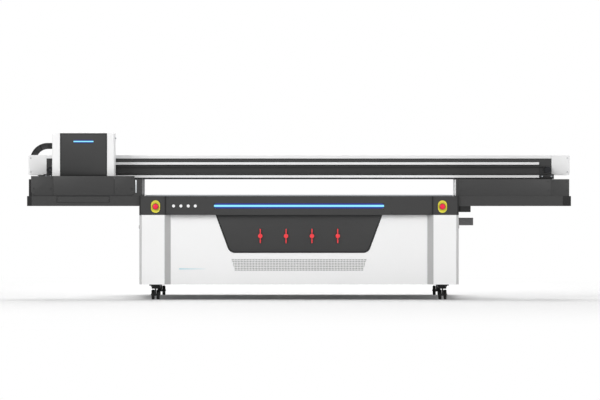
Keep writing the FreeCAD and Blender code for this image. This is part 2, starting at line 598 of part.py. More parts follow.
def beam():
    """Hollow beam with a notch for the motor, its white covers, the X rails and the chain tray."""
    wall = "beam_wall"
    skin = block("beam_skin", ("-beam_half", "beam_half"), ("beam_y", "beam_rear"), ("beam_foot", "beam_top"))
    hollow = block("beam_hollow", ("-beam_half - sheet", "beam_half + sheet"),
                   (f"beam_y + {wall}", f"beam_rear - {wall}"), (f"beam_foot + {wall}", f"beam_top - {wall}"))
    notch = block("motor_notch", ("pulley_place - motor_half - gap", "beam_half + sheet"),
                  ("beam_y - sheet", "motor_face + motor_long + sheet"),
                  ("pulley_tall - motor_half - gap", "pulley_tall + motor_half + gap"))
    node("beam", cut("beam", skin, hollow, notch))
    covers = [block("beam_top_cover", ("-beam_half", "beam_half"), ("beam_y", "beam_rear"),
                    ("beam_top", "cover_top"))]
    for name, flip in sides():
        outer = block(f"end_box_{name}", flip(("beam_half", "total_wide / 2")), ("beam_y", "beam_rear"),
                      ("end_box_low", "cover_top"))
        inner = block(f"end_box_inner_{name}", flip(("beam_half - sheet", "total_wide / 2 - sheet")),
                      ("beam_y + sheet", "beam_rear - sheet"), ("end_box_low + sheet", "cover_top - sheet"))
        covers.append(cut(f"end_box_shell_{name}", outer, inner))
    node("beam_covers", group("beam_covers", *covers))
    rails = [block(f"x_rail_{label}", ("-x_rail_half", "x_rail_half"), ("beam_y - x_rail_proud", "beam_y"),
                   (low, f"{low} + x_rail_tall")) for label, low in (("lower", "x_rail_low"),
                                                                     ("upper", "x_rail_high"))]
    node("x_rails", group("x_rails", *rails))
    back = "beam_rear + tray_deep"
    points = [("beam_rear", "beam_foot"), (back, "beam_foot"), (back, "beam_foot + tray_tall"),
              (f"{back} - sheet", "beam_foot + tray_tall"), (f"{back} - sheet", "beam_foot + sheet"),
              ("beam_rear", "beam_foot + sheet")]
    node("chain_tray", plate("chain_tray", "YZ_Plane", points, "-beam_half", "2 * beam_half"))


def x_drive():
    """Motor on its bracket at the right, pulleys at both ends and the belt between them."""
    spot = ("pulley_place", "pulley_tall")
    bracket = block("motor_bracket", ("x_rail_half", "beam_half"), ("motor_face", "beam_y"),
                    ("beam_foot", "pulley_tall + motor_half + sheet"))
    hole = rod("motor_hole", "Y", spot, "pulley_pin_round + run_fit", "motor_face - sheet", "beam_y + sheet")
    case = block("motor_case", ("pulley_place - motor_half", "pulley_place + motor_half"),
                 ("beam_y", "motor_face + motor_long"),
                 ("pulley_tall - motor_half", "pulley_tall + motor_half"))
    well = rod("motor_well", "Y", spot, "pulley_pin_round + run_fit", "beam_y - sheet", "beam_y + motor_half")
    node("x_motor", group("x_motor", cut("motor_mount", bracket, hole), cut("motor_body", case, well)))
    wheel = rod("drive_wheel", "Y", spot, "pulley_round", "pulley_y", "pulley_y + belt_wide - gap")
    shaft = rod("drive_shaft", "Y", spot, "pulley_pin_round", "pulley_y", "beam_y + motor_half - gap")
    node("drive_pulley", join("drive_pulley", wheel, shaft))
    left = ("-pulley_place", "pulley_tall")
    idler = rod("idler_wheel", "Y", left, "pulley_round", "pulley_y", "pulley_y + belt_wide - gap")
    bore = rod("idler_bore", "Y", left, "pulley_pin_round + run_fit", "pulley_y - sheet", "beam_y")
    node("idler_pulley", cut("idler_pulley", idler, bore))
    reach = "pulley_round + gap + belt_thick"
    belt_y = ("pulley_y + gap", "pulley_y + belt_wide - 2 * gap")
    outer = [block("belt_outer", ("-pulley_place", "pulley_place"), belt_y,
                   (f"pulley_tall - ({reach})", f"pulley_tall + ({reach})"))]
    inner = [block("belt_inner", ("-pulley_place", "pulley_place"), (f"{belt_y[0]} - sheet", f"{belt_y[1]} + sheet"),
                   ("pulley_tall - pulley_round - gap", "pulley_tall + pulley_round + gap"))]
    for label, centre in (("left", "-pulley_place"), ("right", "pulley_place")):
        outer.append(rod(f"belt_outer_{label}", "Y", (centre, "pulley_tall"), reach, *belt_y))
        inner.append(rod(f"belt_inner_{label}", "Y", (centre, "pulley_tall"), "pulley_round + gap",
                         f"{belt_y[0]} - sheet", f"{belt_y[1]} + sheet"))
    loop = cut("belt_loop", join("belt_solid", *outer), join("belt_void", *inner))
    pin = rod("idler_pin", "Y", left, "pulley_pin_round", "pulley_y", "beam_y")
    node("x_belt", group("x_belt", loop, pin))


def stations():
    """Boxes on the legs: capping well, front cover and lower tray on the left, electronics on the right."""
    y_span = ("station_wall", "station_rear")
    x_span = ("-station_outer", "-(leg_outer)")
    ribs_x = (("-well_outer - 2 * sheet", "-well_outer - sheet"), ("-well_inner + sheet",
              "-well_inner + 2 * sheet"))
    skin = block("left_station_skin", x_span, y_span, ("station_low", "beam_foot"))
    bays = []
    edges = (f"{x_span[0]} + sheet", ribs_x[0][0], ribs_x[0][1], ribs_x[1][0], ribs_x[1][1],
             f"{x_span[1]} - sheet")
    for number in range(3):
        bays.append(block(f"left_station_bay_{number}", (edges[2 * number], edges[2 * number + 1]),
                          (f"{y_span[0]} + sheet", f"{y_span[1]} - sheet"),
                          ("station_low - sheet", "beam_foot - sheet")))
    window = block("well_window", ("-well_outer", "-well_inner"), ("front + well_front",
                   "front + well_front + well_deep"), ("beam_foot - 2 * sheet", "beam_foot + sheet"))
    node("left_station", cut("left_station", skin, *bays, window))
    points = [("-front_cover_outer", "front_cover_low"), ("-front_cover_inner", "front_cover_low"),
              ("-front_cover_inner", "front_cover_high"), ("-front_cover_outer", "front_cover_high")]
    cover = plate("left_front_cover", "XZ_Plane", points, "station_y", "cover_thick")
    round_edges(cover, "cover_corner", lambda edge: along(edge, "y")
                and edge.CenterOfMass.z < size("front_cover_low") + 1)
    node("left_front_cover", cover)
    node("left_tray", lower_tray("left", rib_places_left(), True))
    upper = block("right_station_skin", ("leg_outer", "station_outer"), ("station_y", "station_rear"),
                  ("station_low", "beam_foot"))
    third = "(station_outer - leg_outer) / 3"
    spaces = []
    for number in range(3):
        low = f"leg_outer + {number} * {third} + sheet"
        spaces.append(block(f"right_station_bay_{number}", (low, f"{low} + {third} - 2 * sheet"),
                            ("station_y + sheet", "station_rear - sheet"),
                            ("station_low - sheet", "beam_foot - sheet")))
    right_ribs = [f"leg_outer + {third}", f"leg_outer + 2 * {third}"]
    switch_box = block("limit_switch_box", ("leg_outer + sheet", "leg_outer + sheet + switch_box_wide"),
                       ("station_y", "station_y + switch_box_wide"),
                       ("lower_foot - switch_box_tall", "lower_foot"))
    tray = lower_tray("right", [(f"{at} - sheet / 2", f"{at} + sheet / 2") for at in right_ribs], False)
    node("right_station", group("right_station", cut("right_station_top", upper, *spaces), tray, switch_box))


def rib_places_left():
    """The two ribs beside the drawer, as pairs of distances from the middle."""
    inner = "drawer_inner - rib_gap"
    outer = "drawer_outer + rib_gap"
    return [(f"{inner} - sheet", inner), (outer, f"{outer} + sheet")]


def lower_tray(name, ribs, with_drawer):
    """Open-topped tray with a rounded lower end, ribs and, on the left, the drawer's opening and ledges."""
    flip = dict(sides())[name]
    low = signed(name, "leg_outer")
    high = signed(name, "lower_outer")
    points = [(low, "lower_foot"), (high, "lower_foot"), (high, "station_low"), (low, "station_low")]
    if name == "left":
        points = points[::-1]
    body = plate(f"{name}_tray_blank", "XZ_Plane", points, "station_y", "station_deep")
    round_edges(body, "lower_corner", lambda edge: along(edge, "z")
                and abs(edge.CenterOfMass.x) > size("lower_outer") - 1)
    marks = ["leg_outer + sheet"]
    for near, far in ribs:
        marks += [near, far]
    marks.append("lower_outer - lower_corner")
    tools = []
    for number in range(len(marks) // 2):
        span = flip((marks[2 * number], marks[2 * number + 1]))
        tools.append(block(f"{name}_tray_bay_{number}", span, ("station_y + sheet", "station_rear - sheet"),
                           ("lower_foot + sheet", "station_low + sheet")))
    if not with_drawer:
        return cut(f"{name}_tray", body, *tools)
    drawer_x = (ribs[0][1], ribs[1][0])
    tools.append(block("drawer_opening", flip(drawer_x), ("station_y - sheet", "station_y + 2 * sheet"),
                       ("drawer_low - 3 * gap - sheet", "station_low + sheet")))
    ledges = []
    for label, (near, far) in (("near", (drawer_x[0], f"{drawer_x[0]} + ledge_wide")),
                               ("far", (f"{drawer_x[1]} - ledge_wide", drawer_x[1]))):
        span = flip((near, far))
        ledges.append(block(f"drawer_ledge_{label}", span, ("station_y + sheet", "station_rear - sheet"),
                            ("drawer_low - gap - sheet", "drawer_low - gap")))
        ledges.append(block(f"cap_ledge_{label}", span, ("front + cap_front", "front + cap_front + cap_deep"),
                            ("drawer_low + drawer_tall + gap", "cap_low - gap")))
    return join(f"{name}_tray", cut(f"{name}_tray_carved", body, *tools), *ledges)


def drawer_and_caps():
    """Waste ink drawer on its ledges, and the capping tray above it with one cup for each head."""
    x_span = ("-drawer_outer", "-drawer_inner")
    end = "station_y + sheet + drawer_long"
    face = block("drawer_face", x_span, ("station_y", "station_y + sheet"),
                 ("drawer_panel_low", "drawer_panel_high"))
    tub = block("drawer_tub", x_span, ("station_y + sheet", end), ("drawer_low", "drawer_low + drawer_tall"))
    room = block("drawer_room", (f"{x_span[0]} + sheet", f"{x_span[1]} - sheet"),
                 ("station_y + 2 * sheet", f"{end} - sheet"),
                 ("drawer_low + sheet", "drawer_low + drawer_tall + sheet"))
    node("waste_drawer", join("waste_drawer", face, cut("drawer_box", tub, room)))
    base = block("cap_base", x_span, ("front + cap_front", "front + cap_front + cap_deep"),
                 ("cap_low", "cap_low + cap_plate"))
    cups = [block(f"cap_cup_{index}", *spans, ("cap_low + cap_plate", "cap_low + cap_plate + cap_tall"))
            for index, spans in enumerate(head_spots())]
    node("cap_tray", join("cap_tray", base, *cups))


def head_spots():
    """X and Y spans of the print heads, in rows across the head plate."""
    middle = "-(head_outer + head_inner) / 2"
    centre = "head_y + lamp_long / 2 + (head_deep - lamp_long) / 2"
    spots = []
    for column in range(SIZES["head_columns"]):
        for line in range(SIZES["head_rows"]):
            across = f"{middle} + ({column} - (head_columns - 1) / 2) * head_pitch"
            back = f"{centre} + ({line} - (head_rows - 1) / 2) * head_row_pitch"
            spots.append(((f"{across} - head_wide / 2", f"{across} + head_wide / 2"),
                          (f"{back} - head_long / 2", f"{back} + head_long / 2")))
    return spots


def carriage():
    """Plate on the X rails with lift rails and the chain's arm, white shell, dark face and blue light."""
    inner = ("shell_in_left", "shell_in_right")
    back = block("carriage_back", inner, ("plate_y", "plate_back"), ("plate_low", "carriage_high - sheet"))
    arm_x = ("shell_in_left", "shell_in_left + arm_wide")
    arm = block("chain_arm", arm_x, ("plate_back", "chain_y + chain_wide"), ("chain_top - chain_thick",
                                                                             "arm_high"))
    pieces = [join("carriage_casting", back, *lift_rails()), arm]
    blocks_x = (("left", "shell_in_left + x_block_in"), ("right", "shell_in_right - x_block_in - x_block_long"))
    for rail, low in (("lower", "x_rail_low"), ("upper", "x_rail_high")):
        centre = f"{low} + x_rail_tall / 2"
        for label, start in blocks_x:
            end = f"{start} + x_block_long"
            blank = block(f"x_block_{rail}_{label}", (start, end), ("plate_back", "plate_back + x_block_deep"),
                          (f"{centre} - x_block_tall / 2", f"{centre} + x_block_tall / 2"))
            slot = block(f"x_slot_{rail}_{label}", (f"{start} - sheet", f"{end} + sheet"),
                         ("beam_y - x_rail_proud - gap", "beam_y"),
                         (f"{low} - gap", f"{low} + x_rail_tall + gap"))
            pieces.append(cut(f"x_slide_{rail}_{label}", blank, slot))
    barrel = rod("lift_cylinder", "Z", lift_spot(), "cylinder_round", "cylinder_low", "lift_high")
    bore = rod("lift_bore", "Z", lift_spot(), "rod_round + run_fit", "cylinder_low - sheet",
               "lift_high - sheet")
    mount = block("lift_mount", ("-(carriage_outer + carriage_inner) / 2 - cylinder_round / 2",
                                 "-(carriage_outer + carriage_inner) / 2 + cylinder_round / 2"),
                  ("head_rear - cylinder_round - sheet", "plate_y"), ("lift_bracket_high + 2 * sheet",
                                                                      "lift_high"))
    pieces.append(cut("lift_unit", join("lift_barrel", barrel, mount), bore))
    node("carriage_plate", group("carriage_plate", *pieces))

    outer = block("shell_outer", ("-carriage_outer", "-carriage_inner"), ("shell_y", "plate_back"),
                  ("carriage_low", "carriage_high"))
    hollow = block("shell_hollow", inner, ("shell_y + sheet", "plate_back + sheet"),
                   ("carriage_low - sheet", "carriage_high - sheet"))
    knob = rod("shell_knob", "X", ("shell_y + post", "knob_tall"), "knob_round", "-carriage_inner",
               "knob_long - carriage_inner")
    node("carriage_shell", join("carriage_shell", cut("shell_box", outer, hollow), knob))
    points = [("-face_outer", "carriage_low"), ("-face_inner", "carriage_low"), ("-face_inner", "face_high"),
              ("-face_outer", "face_high")]
    node("carriage_face", plate("carriage_face", "XZ_Plane", points, "shell_y - face_thick", "face_thick"))
    node("carriage_light", block("carriage_light", ("-light_outer", "-light_inner"),
         ("shell_y - face_thick - light_thick", "shell_y - face_thick"),
         ("light_low", "light_low + light_tall")))


def lift_rails():
    """Two upright rails on the front of the carriage plate."""
    rails = []
    for label, centre in lift_rail_places():
        rails.append(block(f"lift_rail_{label}", (f"{centre} - lift_rail_wide / 2",
                     f"{centre} + lift_rail_wide / 2"), ("plate_y - lift_rail_thick", "plate_y"),
                     ("plate_low", "lift_high")))
    return rails


def lift_rail_places():
    return (("left", "shell_in_left + lift_rail_inset"), ("right", "shell_in_right - lift_rail_inset"))


def lift_spot():
    return ("-(carriage_outer + carriage_inner) / 2", "head_rear - cylinder_round - sheet")


def heads():
    """Head plate with its upright, shoes on the lift rails, two UV lamps, and the print heads."""
    x_span = ("-head_outer", "-head_inner")
    face = "plate_y - lift_rail_thick - gap"
    floor = block("head_floor", x_span, ("head_y", face), ("head_plate_low", "head_plate_low + head_plate_thick"))
    upright = block("head_upright", x_span, (f"{face} - head_plate_thick", face),
                    ("head_plate_low", "lift_bracket_high"))
    pieces = [floor, upright]
    for label, centre in lift_rail_places():
        for edge, sign in (("a", -1), ("b", 1)):
            near = f"{centre} + {sign} * (lift_rail_wide / 2 + gap)"
            far = f"{centre} + {sign} * (lift_rail_wide / 2 + gap + lift_rail_thick)"
            span = (far, near) if sign < 0 else (near, far)
            pieces.append(block(f"lift_shoe_{label}_{edge}", span, (face, "plate_y - gap"),
                                ("lift_bracket_high - post", "lift_bracket_high")))
    pieces.append(rod("lift_rod", "Z", lift_spot(), "rod_round", "head_plate_low", "lift_high - 2 * sheet"))
    cuts = [block(f"head_hole_{index}", *spans, ("head_low", "head_high"))
            for index, spans in enumerate(head_spots())]
    bracket = cut("head_bracket", join("head_bracket_blank", *pieces), *cuts)
    lamps = []
    centre = "head_y + lamp_long / 2 + (head_deep - lamp_long) / 2"
    for label, low in (("left", "-head_outer"), ("right", "-head_inner - lamp_wide")):
        lamps.append(block(f"uv_lamp_{label}", (low, f"{low} + lamp_wide"),
                           (f"{centre} - lamp_long / 2", f"{centre} + lamp_long / 2"),
                           ("head_plate_low + head_plate_thick", "head_high")))
    node("head_plate", group("head_plate", bracket, *lamps))
    blocks = [block(f"print_head_{index}", *spans, ("head_low", "head_high"))
              for index, spans in enumerate(head_spots())]
    node("print_heads", group("print_heads", *blocks))


def cable_chain():
    """Energy chain behind the beam: lower run in its tray, the bend, and the short upper run."""
    deep = ("chain_y", "chain_y + chain_wide")
    bend_x = "-chain_centre"
    ring = rod("bend_outer", "Y", (bend_x, "chain_mid"), "chain_round", *deep)
    hole = rod("bend_hole", "Y", (bend_x, "chain_mid"), "chain_round - chain_thick", f"{deep[0]} - sheet",
               f"{deep[1]} + sheet")
    other = block("bend_other_half", (bend_x, "-chain_centre + 2 * chain_round"),
                  (f"{deep[0]} - sheet", f"{deep[1]} + sheet"), ("chain_low - sheet", "chain_top + sheet"))
    node("chain_bend", cut("chain_bend", ring, hole, other))
    node("chain_lower_run", block("chain_lower_run", (f"{bend_x} + gap", f"{bend_x} + chain_run"), deep,
                                  ("chain_low", "chain_low + chain_thick")))
    node("chain_upper_run", block("chain_upper_run", (f"{bend_x} + gap", "shell_in_left"), deep,
                                  ("chain_top - chain_thick", "chain_top")))


def build():
    base_frame()
    front_panel()
    valve_panel()
    valves()
    side_shells()
    rear_panel()
    control_band()
    emergency_stops()
    decks_and_table()
    y_drive()
    services()
    casters()
    gantry_legs()
    beam()
    x_drive()
    stations()
    drawer_and_caps()
    carriage()
    heads()
    cable_chain()


def write():
    """Checks every object and writes each sub-part's shape."""
    doc.recompute()
    for item in doc.Objects:
        if {"Invalid", "Error"} & set(item.State):
            raise ValueError(f"{item.Name} did not compute")
    os.makedirs("parts", exist_ok=True)
    for item in NODES:
        if item.Shape.isNull() or not item.Shape.isValid():
            raise ValueError(f"{item.Label} is not a valid shape")
    for item in NODES:
        item.Shape.exportStep(f"parts/{item.Label}.step")
        box = item.Shape.BoundBox
        print(f"{item.Label:24} solids {len(item.Shape.Solids):3}  x {box.XMin:9.1f} {box.XMax:9.1f}"
              f"  y {box.YMin:9.1f} {box.YMax:9.1f}  z {box.ZMin:8.1f} {box.ZMax:8.1f}")
    print(len(NODES), "sub-parts")


build()
write()
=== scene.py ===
import bpy
import math
from mathutils import Matrix, Vector


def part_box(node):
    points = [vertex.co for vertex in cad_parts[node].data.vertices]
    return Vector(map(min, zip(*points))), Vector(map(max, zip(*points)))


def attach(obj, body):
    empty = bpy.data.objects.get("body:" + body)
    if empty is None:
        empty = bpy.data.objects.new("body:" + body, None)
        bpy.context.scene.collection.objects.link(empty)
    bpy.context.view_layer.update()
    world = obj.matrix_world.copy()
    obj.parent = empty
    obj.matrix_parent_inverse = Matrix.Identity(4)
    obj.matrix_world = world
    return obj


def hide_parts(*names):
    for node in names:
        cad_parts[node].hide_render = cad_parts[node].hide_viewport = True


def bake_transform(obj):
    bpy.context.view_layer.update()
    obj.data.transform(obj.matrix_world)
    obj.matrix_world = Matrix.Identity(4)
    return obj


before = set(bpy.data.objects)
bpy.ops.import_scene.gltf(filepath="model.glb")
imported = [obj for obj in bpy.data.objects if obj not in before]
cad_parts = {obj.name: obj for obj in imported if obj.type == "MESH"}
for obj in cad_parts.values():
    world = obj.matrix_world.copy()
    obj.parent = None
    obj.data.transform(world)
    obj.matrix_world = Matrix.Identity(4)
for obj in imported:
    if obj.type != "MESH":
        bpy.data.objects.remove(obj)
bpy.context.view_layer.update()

# Flatbed UV printer, 4.43 m wide. Everything is in metres, and the front of the machine faces -Y.

view = {"eye": (0.008, -41.0335, 0.891), "lens": 296.3, "drop": -10 / 600}

bpy.ops.object.camera_add(location=view["eye"], rotation=(math.pi / 2, 0, 0))
camera = bpy.context.object
camera.data.sensor_width = 36
camera.data.lens = view["lens"]
camera.data.shift_y = view["drop"]
camera.data.clip_end = 300
bpy.context.scene.camera = camera
print("camera placed")


# Node materials

def toLinear(hexText):
    parts = [int(hexText[i:i + 2], 16) / 255 for i in (1, 3, 5)]
    return [p / 12.92 if p <= 0.04045 else ((p + 0.055) / 1.055) ** 2.4 for p in parts] + [1.0]


def addNode(tree, kind, settings=None, links=None):
    node = tree.nodes.new(kind)
    for key, value in (settings or {}).items():
        if isinstance(key, int) or key[0].isupper():
            node.inputs[key].default_value = value
        else:
            setattr(node, key, value)
    for key, source in (links or {}).items():
        tree.links.new(source, node.inputs[key])
    return node


def newMaterial(name):
    material = bpy.data.materials.new(name)
    material.use_nodes = True
    tree = material.node_tree
    tree.nodes.clear()
    shader = addNode(tree, "ShaderNodeBsdfPrincipled")
    addNode(tree, "ShaderNodeOutputMaterial", links={"Surface": shader.outputs[0]})
    return material, tree, shader


def makeFinish(name, **look):
    # tone and shade are the surface's two hexes, grain is the size of its finest marks in mm
    material, tree, shader = newMaterial(name)
    shader.inputs["Metallic"].default_value = look.get("metal", 0)
    shader.inputs["Coat Weight"].default_value = look.get("coat", 0)
    place = addNode(tree, "ShaderNodeTexCoord").outputs["Object"]
    stretched = addNode(tree, "ShaderNodeMapping", {"Scale": look.get("stretch", (1, 1, 1))},
                        {"Vector": place}).outputs[0]
    grain = addNode(tree, "ShaderNodeTexNoise", {"Scale": 1000 / look["grain"], "Detail": 3},
                    {"Vector": stretched}).outputs["Fac"]
    cloud = addNode(tree, "ShaderNodeTexNoise", {"Scale": look.get("cloud", 2.5), "Detail": 4},
                    {"Vector": place}).outputs["Fac"]
    mixed = addNode(tree, "ShaderNodeMix", {"data_type": "RGBA", 6: toLinear(look["tone"]),
                    7: toLinear(look["shade"])}, {0: cloud}).outputs[2]
    if "rub" in look:
        # handled edges: a bevel sampled at the edge shows where paint thins
        edge = addNode(tree, "ShaderNodeBevel", {"samples": 4, "Radius": look["rubWide"] / 1000})
        face = addNode(tree, "ShaderNodeNewGeometry")
        meet = addNode(tree, "ShaderNodeVectorMath", {"operation": "DOT_PRODUCT"},
                       {0: edge.outputs[0], 1: face.outputs["Normal"]})
        worn = addNode(tree, "ShaderNodeMapRange", {"From Min": 0.98, "From Max": 0.8, "To Max": 0.55},
                       {"Value": meet.outputs["Value"]}).outputs[0]
        patchy = addNode(tree, "ShaderNodeMath", {"operation": "MULTIPLY"}, {0: worn, 1: grain}).outputs[0]
        mixed = addNode(tree, "ShaderNodeMix", {"data_type": "RGBA", 7: toLinear(look["rub"])},
                        {0: patchy, 6: mixed}).outputs[2]
    tree.links.new(mixed, shader.inputs["Base Color"])
    low, high = look["rough"]
    rough = addNode(tree, "ShaderNodeMapRange", {"From Min": 0.3, "From Max": 0.7, "To Min": low,
                    "To Max": high}, {"Value": grain}).outputs[0]
    tree.links.new(rough, shader.inputs["Roughness"])
    bump = addNode(tree, "ShaderNodeBump", {"Strength": 0.3, "Distance": look["relief"] / 1000},
                   {"Height": grain})
    tree.links.new(bump.outputs[0], shader.inputs["Normal"])
    return material


# Powder coat on folded steel: flat colour, a soft orange peel and a satin gloss.
# The peel is about 1.5 mm on the real one, drawn at 6 mm so that it shows.
whitePowderCoat = makeFinish("whitePowderCoat", tone="#FAFAFA", shade="#F6F6F6", grain=6,
                             rough=(0.36, 0.46), relief=0.05, rub="#D8D8D6", rubWide=2)
charcoalPowderCoat = makeFinish("charcoalPowderCoat", tone="#2F2F2F", shade="#2B2B2B", grain=5,
                                rough=(0.42, 0.55), relief=0.06, rub="#1C1C1C", rubWide=5)
# The fine textured black-grey of the carriage face and valve panel, a shade deeper and duller.
darkTexturedCoat = makeFinish("darkTexturedCoat", tone="#2E2E2E", shade="#2A2A2A", grain=3,
                              rough=(0.5, 0.62), relief=0.08, rub="#161616", rubWide=4)
# Grey epoxy primer on the welded tubes: thick, slightly wavy brush-free paint.
frameEnamel = makeFinish("frameEnamel", tone="#4E5154", shade="#44474A", grain=12, rough=(0.4, 0.55),
                         relief=0.1, rub="#8A8A88", rubWide=3)
# Folded edge strips painted mid grey: painted shade standing in for the strips turned away from the light
# beside the white faces.
innerStripPaintedShade = makeFinish("innerStripPaintedShade", tone="#BDBDBD", shade="#B4B4B4", grain=6, rough=(0.4, 0.5),
                        relief=0.05)
# The narrow outer folds, a tone paler grey: painted shade where the folds turn away from the light.
outerFoldPaintedShade = makeFinish("outerFoldPaintedShade", tone="#D2D2D2", shade="#CACACA", grain=6, rough=(0.4, 0.5),
                        relief=0.05)
# Clear anodised aluminium, milled: fine marks along X and a soft metal sheen.
milledAluminium = makeFinish("milledAluminium", tone="#C4C7C9", shade="#B4B8BB", grain=2,
                             rough=(0.3, 0.45), relief=0.02, metal=1, stretch=(0.06, 1, 1))
# Hard anodised vacuum table: matt pale grey, with scuffs where boards slide.
tableAluminium = makeFinish("tableAluminium", tone="#B4B8BB", shade="#ADB1B5", grain=4, rough=(0.42, 0.6),
                            relief=0.03, metal=0.85, cloud=5, rub="#E0E2E4", rubWide=1.5)
# Rail caps in flat pure white with no metal: painted reflection standing in for the bright studio mirrored in
# ground steel; faint extruded die lines run along the travel.
railPaintedReflection = makeFinish("railPaintedReflection", tone="#FFFFFF", shade="#FAFAFA", grain=2, rough=(0.3, 0.42),
                      relief=0.01, stretch=(0.03, 1, 1))
# Ground and hardened rail steel: bright, with marks drawn along the travel.
groundSteelY = makeFinish("groundSteelY", tone="#B8BABC", shade="#A4A7AA", grain=2, rough=(0.2, 0.35),
                          relief=0.01, metal=1, stretch=(1, 0.03, 1))
# Zinc-plated steel: a thin grey-silver film, slightly patchy where the bath drained.
zincSteel = makeFinish("zincSteel", tone="#9B9EA2", shade="#85888D", grain=3, rough=(0.3, 0.5),
                       relief=0.03, metal=1)
# Black oxide socket screws: a thin dark film over steel.
blackOxideSteel = makeFinish("blackOxideSteel", tone="#3A3A3C", shade="#303032", grain=1,
                             rough=(0.4, 0.5), relief=0.01, metal=0.6)
# Moulded glass-filled nylon: near black, a fine spark-eroded grain. The strip under the left front cover uses
# it as painted shade of the gap there.
mouldedNylonAndPaintedShade = makeFinish("mouldedNylonAndPaintedShade", tone="#1C1C1D", shade="#161617", grain=1.5, rough=(0.45, 0.6),
                          relief=0.08, rub="#3A3A3C", rubWide=2)
# Cable chain links: injection-moulded nylon, near black, darker still along their edges.
chainNylon = makeFinish("chainNylon", tone="#1B1B1C", shade="#151516", grain=2, rough=(0.45, 0.6),
                        relief=0.06, rub="#040404", rubWide=3)
# Cast polyurethane tread: dull black that picks up floor dust.
wheelRubber = makeFinish("wheelRubber", tone="#121212", shade="#1E1D1C", grain=2, rough=(0.6, 0.8),
                         relief=0.1, cloud=40)
# Red glass-filled ABS handles and stop heads: a saturated satin plastic.
redAbs = makeFinish("redAbs", tone="#FF3B40", shade="#F2303A", grain=1.5, rough=(0.3, 0.42), relief=0.03,
                    coat=0.2)
stopRed = makeFinish("stopRed", tone="#F81848", shade="#EE1440", grain=1.5, rough=(0.35, 0.45),
                     relief=0.02)
# Yellow enamelled steel behind the stop heads. Its edges and the creases of the recess turn olive: partly
# worn paint, partly painted shade in the recess.
yellowEnamel = makeFinish("yellowEnamel", tone="#F4EE48", shade="#EAE444", grain=3, rough=(0.3, 0.4),
                          relief=0.03, rub="#8E8A2A", rubWide=3)
# The same enamel on the recessed plate, painted duller and greener as painted shade of the recess round the
# head, mottled.
shadedYellow = makeFinish("shadedYellow", tone="#A3A03A", shade="#8E8E38", grain=3, rough=(0.4, 0.55),
                          relief=0.03, cloud=30)
# Extruded black rubber profiles in the fascia's joints and round the valve panel; the same black also stands
# as painted shade in the louvre openings, at the trays' ends and in the gap round the carriage face.
blackRubberAndPaintedShade = makeFinish("blackRubberAndPaintedShade", tone="#0E0E0E", shade="#121212", grain=2, rough=(0.7, 0.85),
                         relief=0.03)
# Sand-cast aluminium of the blower: coarse, dull and a little mottled.
castAluminium = makeFinish("castAluminium", tone="#8E9194", shade="#7C8084", grain=3, rough=(0.55, 0.75),
                           relief=0.25, metal=0.8, cloud=15)
# Forged and turned brass of the valve bodies.
valveBrass = makeFinish("valveBrass", tone="#C9A45A", shade="#B18F4B", grain=2, rough=(0.3, 0.45),
                        relief=0.05, metal=1)
# Galvanised sheet: large pale spangles, about 15 mm across.
galvanisedSheet = makeFinish("galvanisedSheet", tone="#A9AEB1", shade="#8F9599", grain=15,
                             rough=(0.3, 0.5), relief=0.02, metal=0.9, cloud=45)
# Grey ABS housing of the mains inlet.
greyAbs = makeFinish("greyAbs", tone="#6F6F6F", shade="#676767", grain=1.5, rough=(0.45, 0.55),
                     relief=0.05, rub="#4C4C4C", rubWide=3)
# Toothed polyurethane belt, dark grey and matt.
beltPolyurethane = makeFinish("beltPolyurethane", tone="#3E3E3E", shade="#353535", grain=2,
                              rough=(0.5, 0.65), relief=0.05)
# Open-cell foam of the vent filter, mid grey with 2 mm cells drawn at 4 mm.
filterFoam = makeFinish("filterFoam", tone="#8C8C8C", shade="#7E7E7E", grain=4, rough=(0.8, 0.95),
                        relief=0.4)
# Cut vinyl stripe, pale blue, thin and slightly glossy.
stripeVinyl = makeFinish("stripeVinyl", tone="#A9D8E6", shade="#9CCEDD", grain=4, rough=(0.25, 0.35),
                         relief=0.01)
# Soft silicone cups of the capping tray.
greySilicone = makeFinish("greySilicone", tone="#8C8F92", shade="#7F8285", grain=1.5, rough=(0.55, 0.7),
                          relief=0.04)
# Black anodised head and lamp housings, finely bead blasted.
blackAnodised = makeFinish("blackAnodised", tone="#26272A", shade="#1E1F22", grain=1.2, rough=(0.35, 0.5),
                           relief=0.03, metal=0.6, rub="#77797D", rubWide=1)


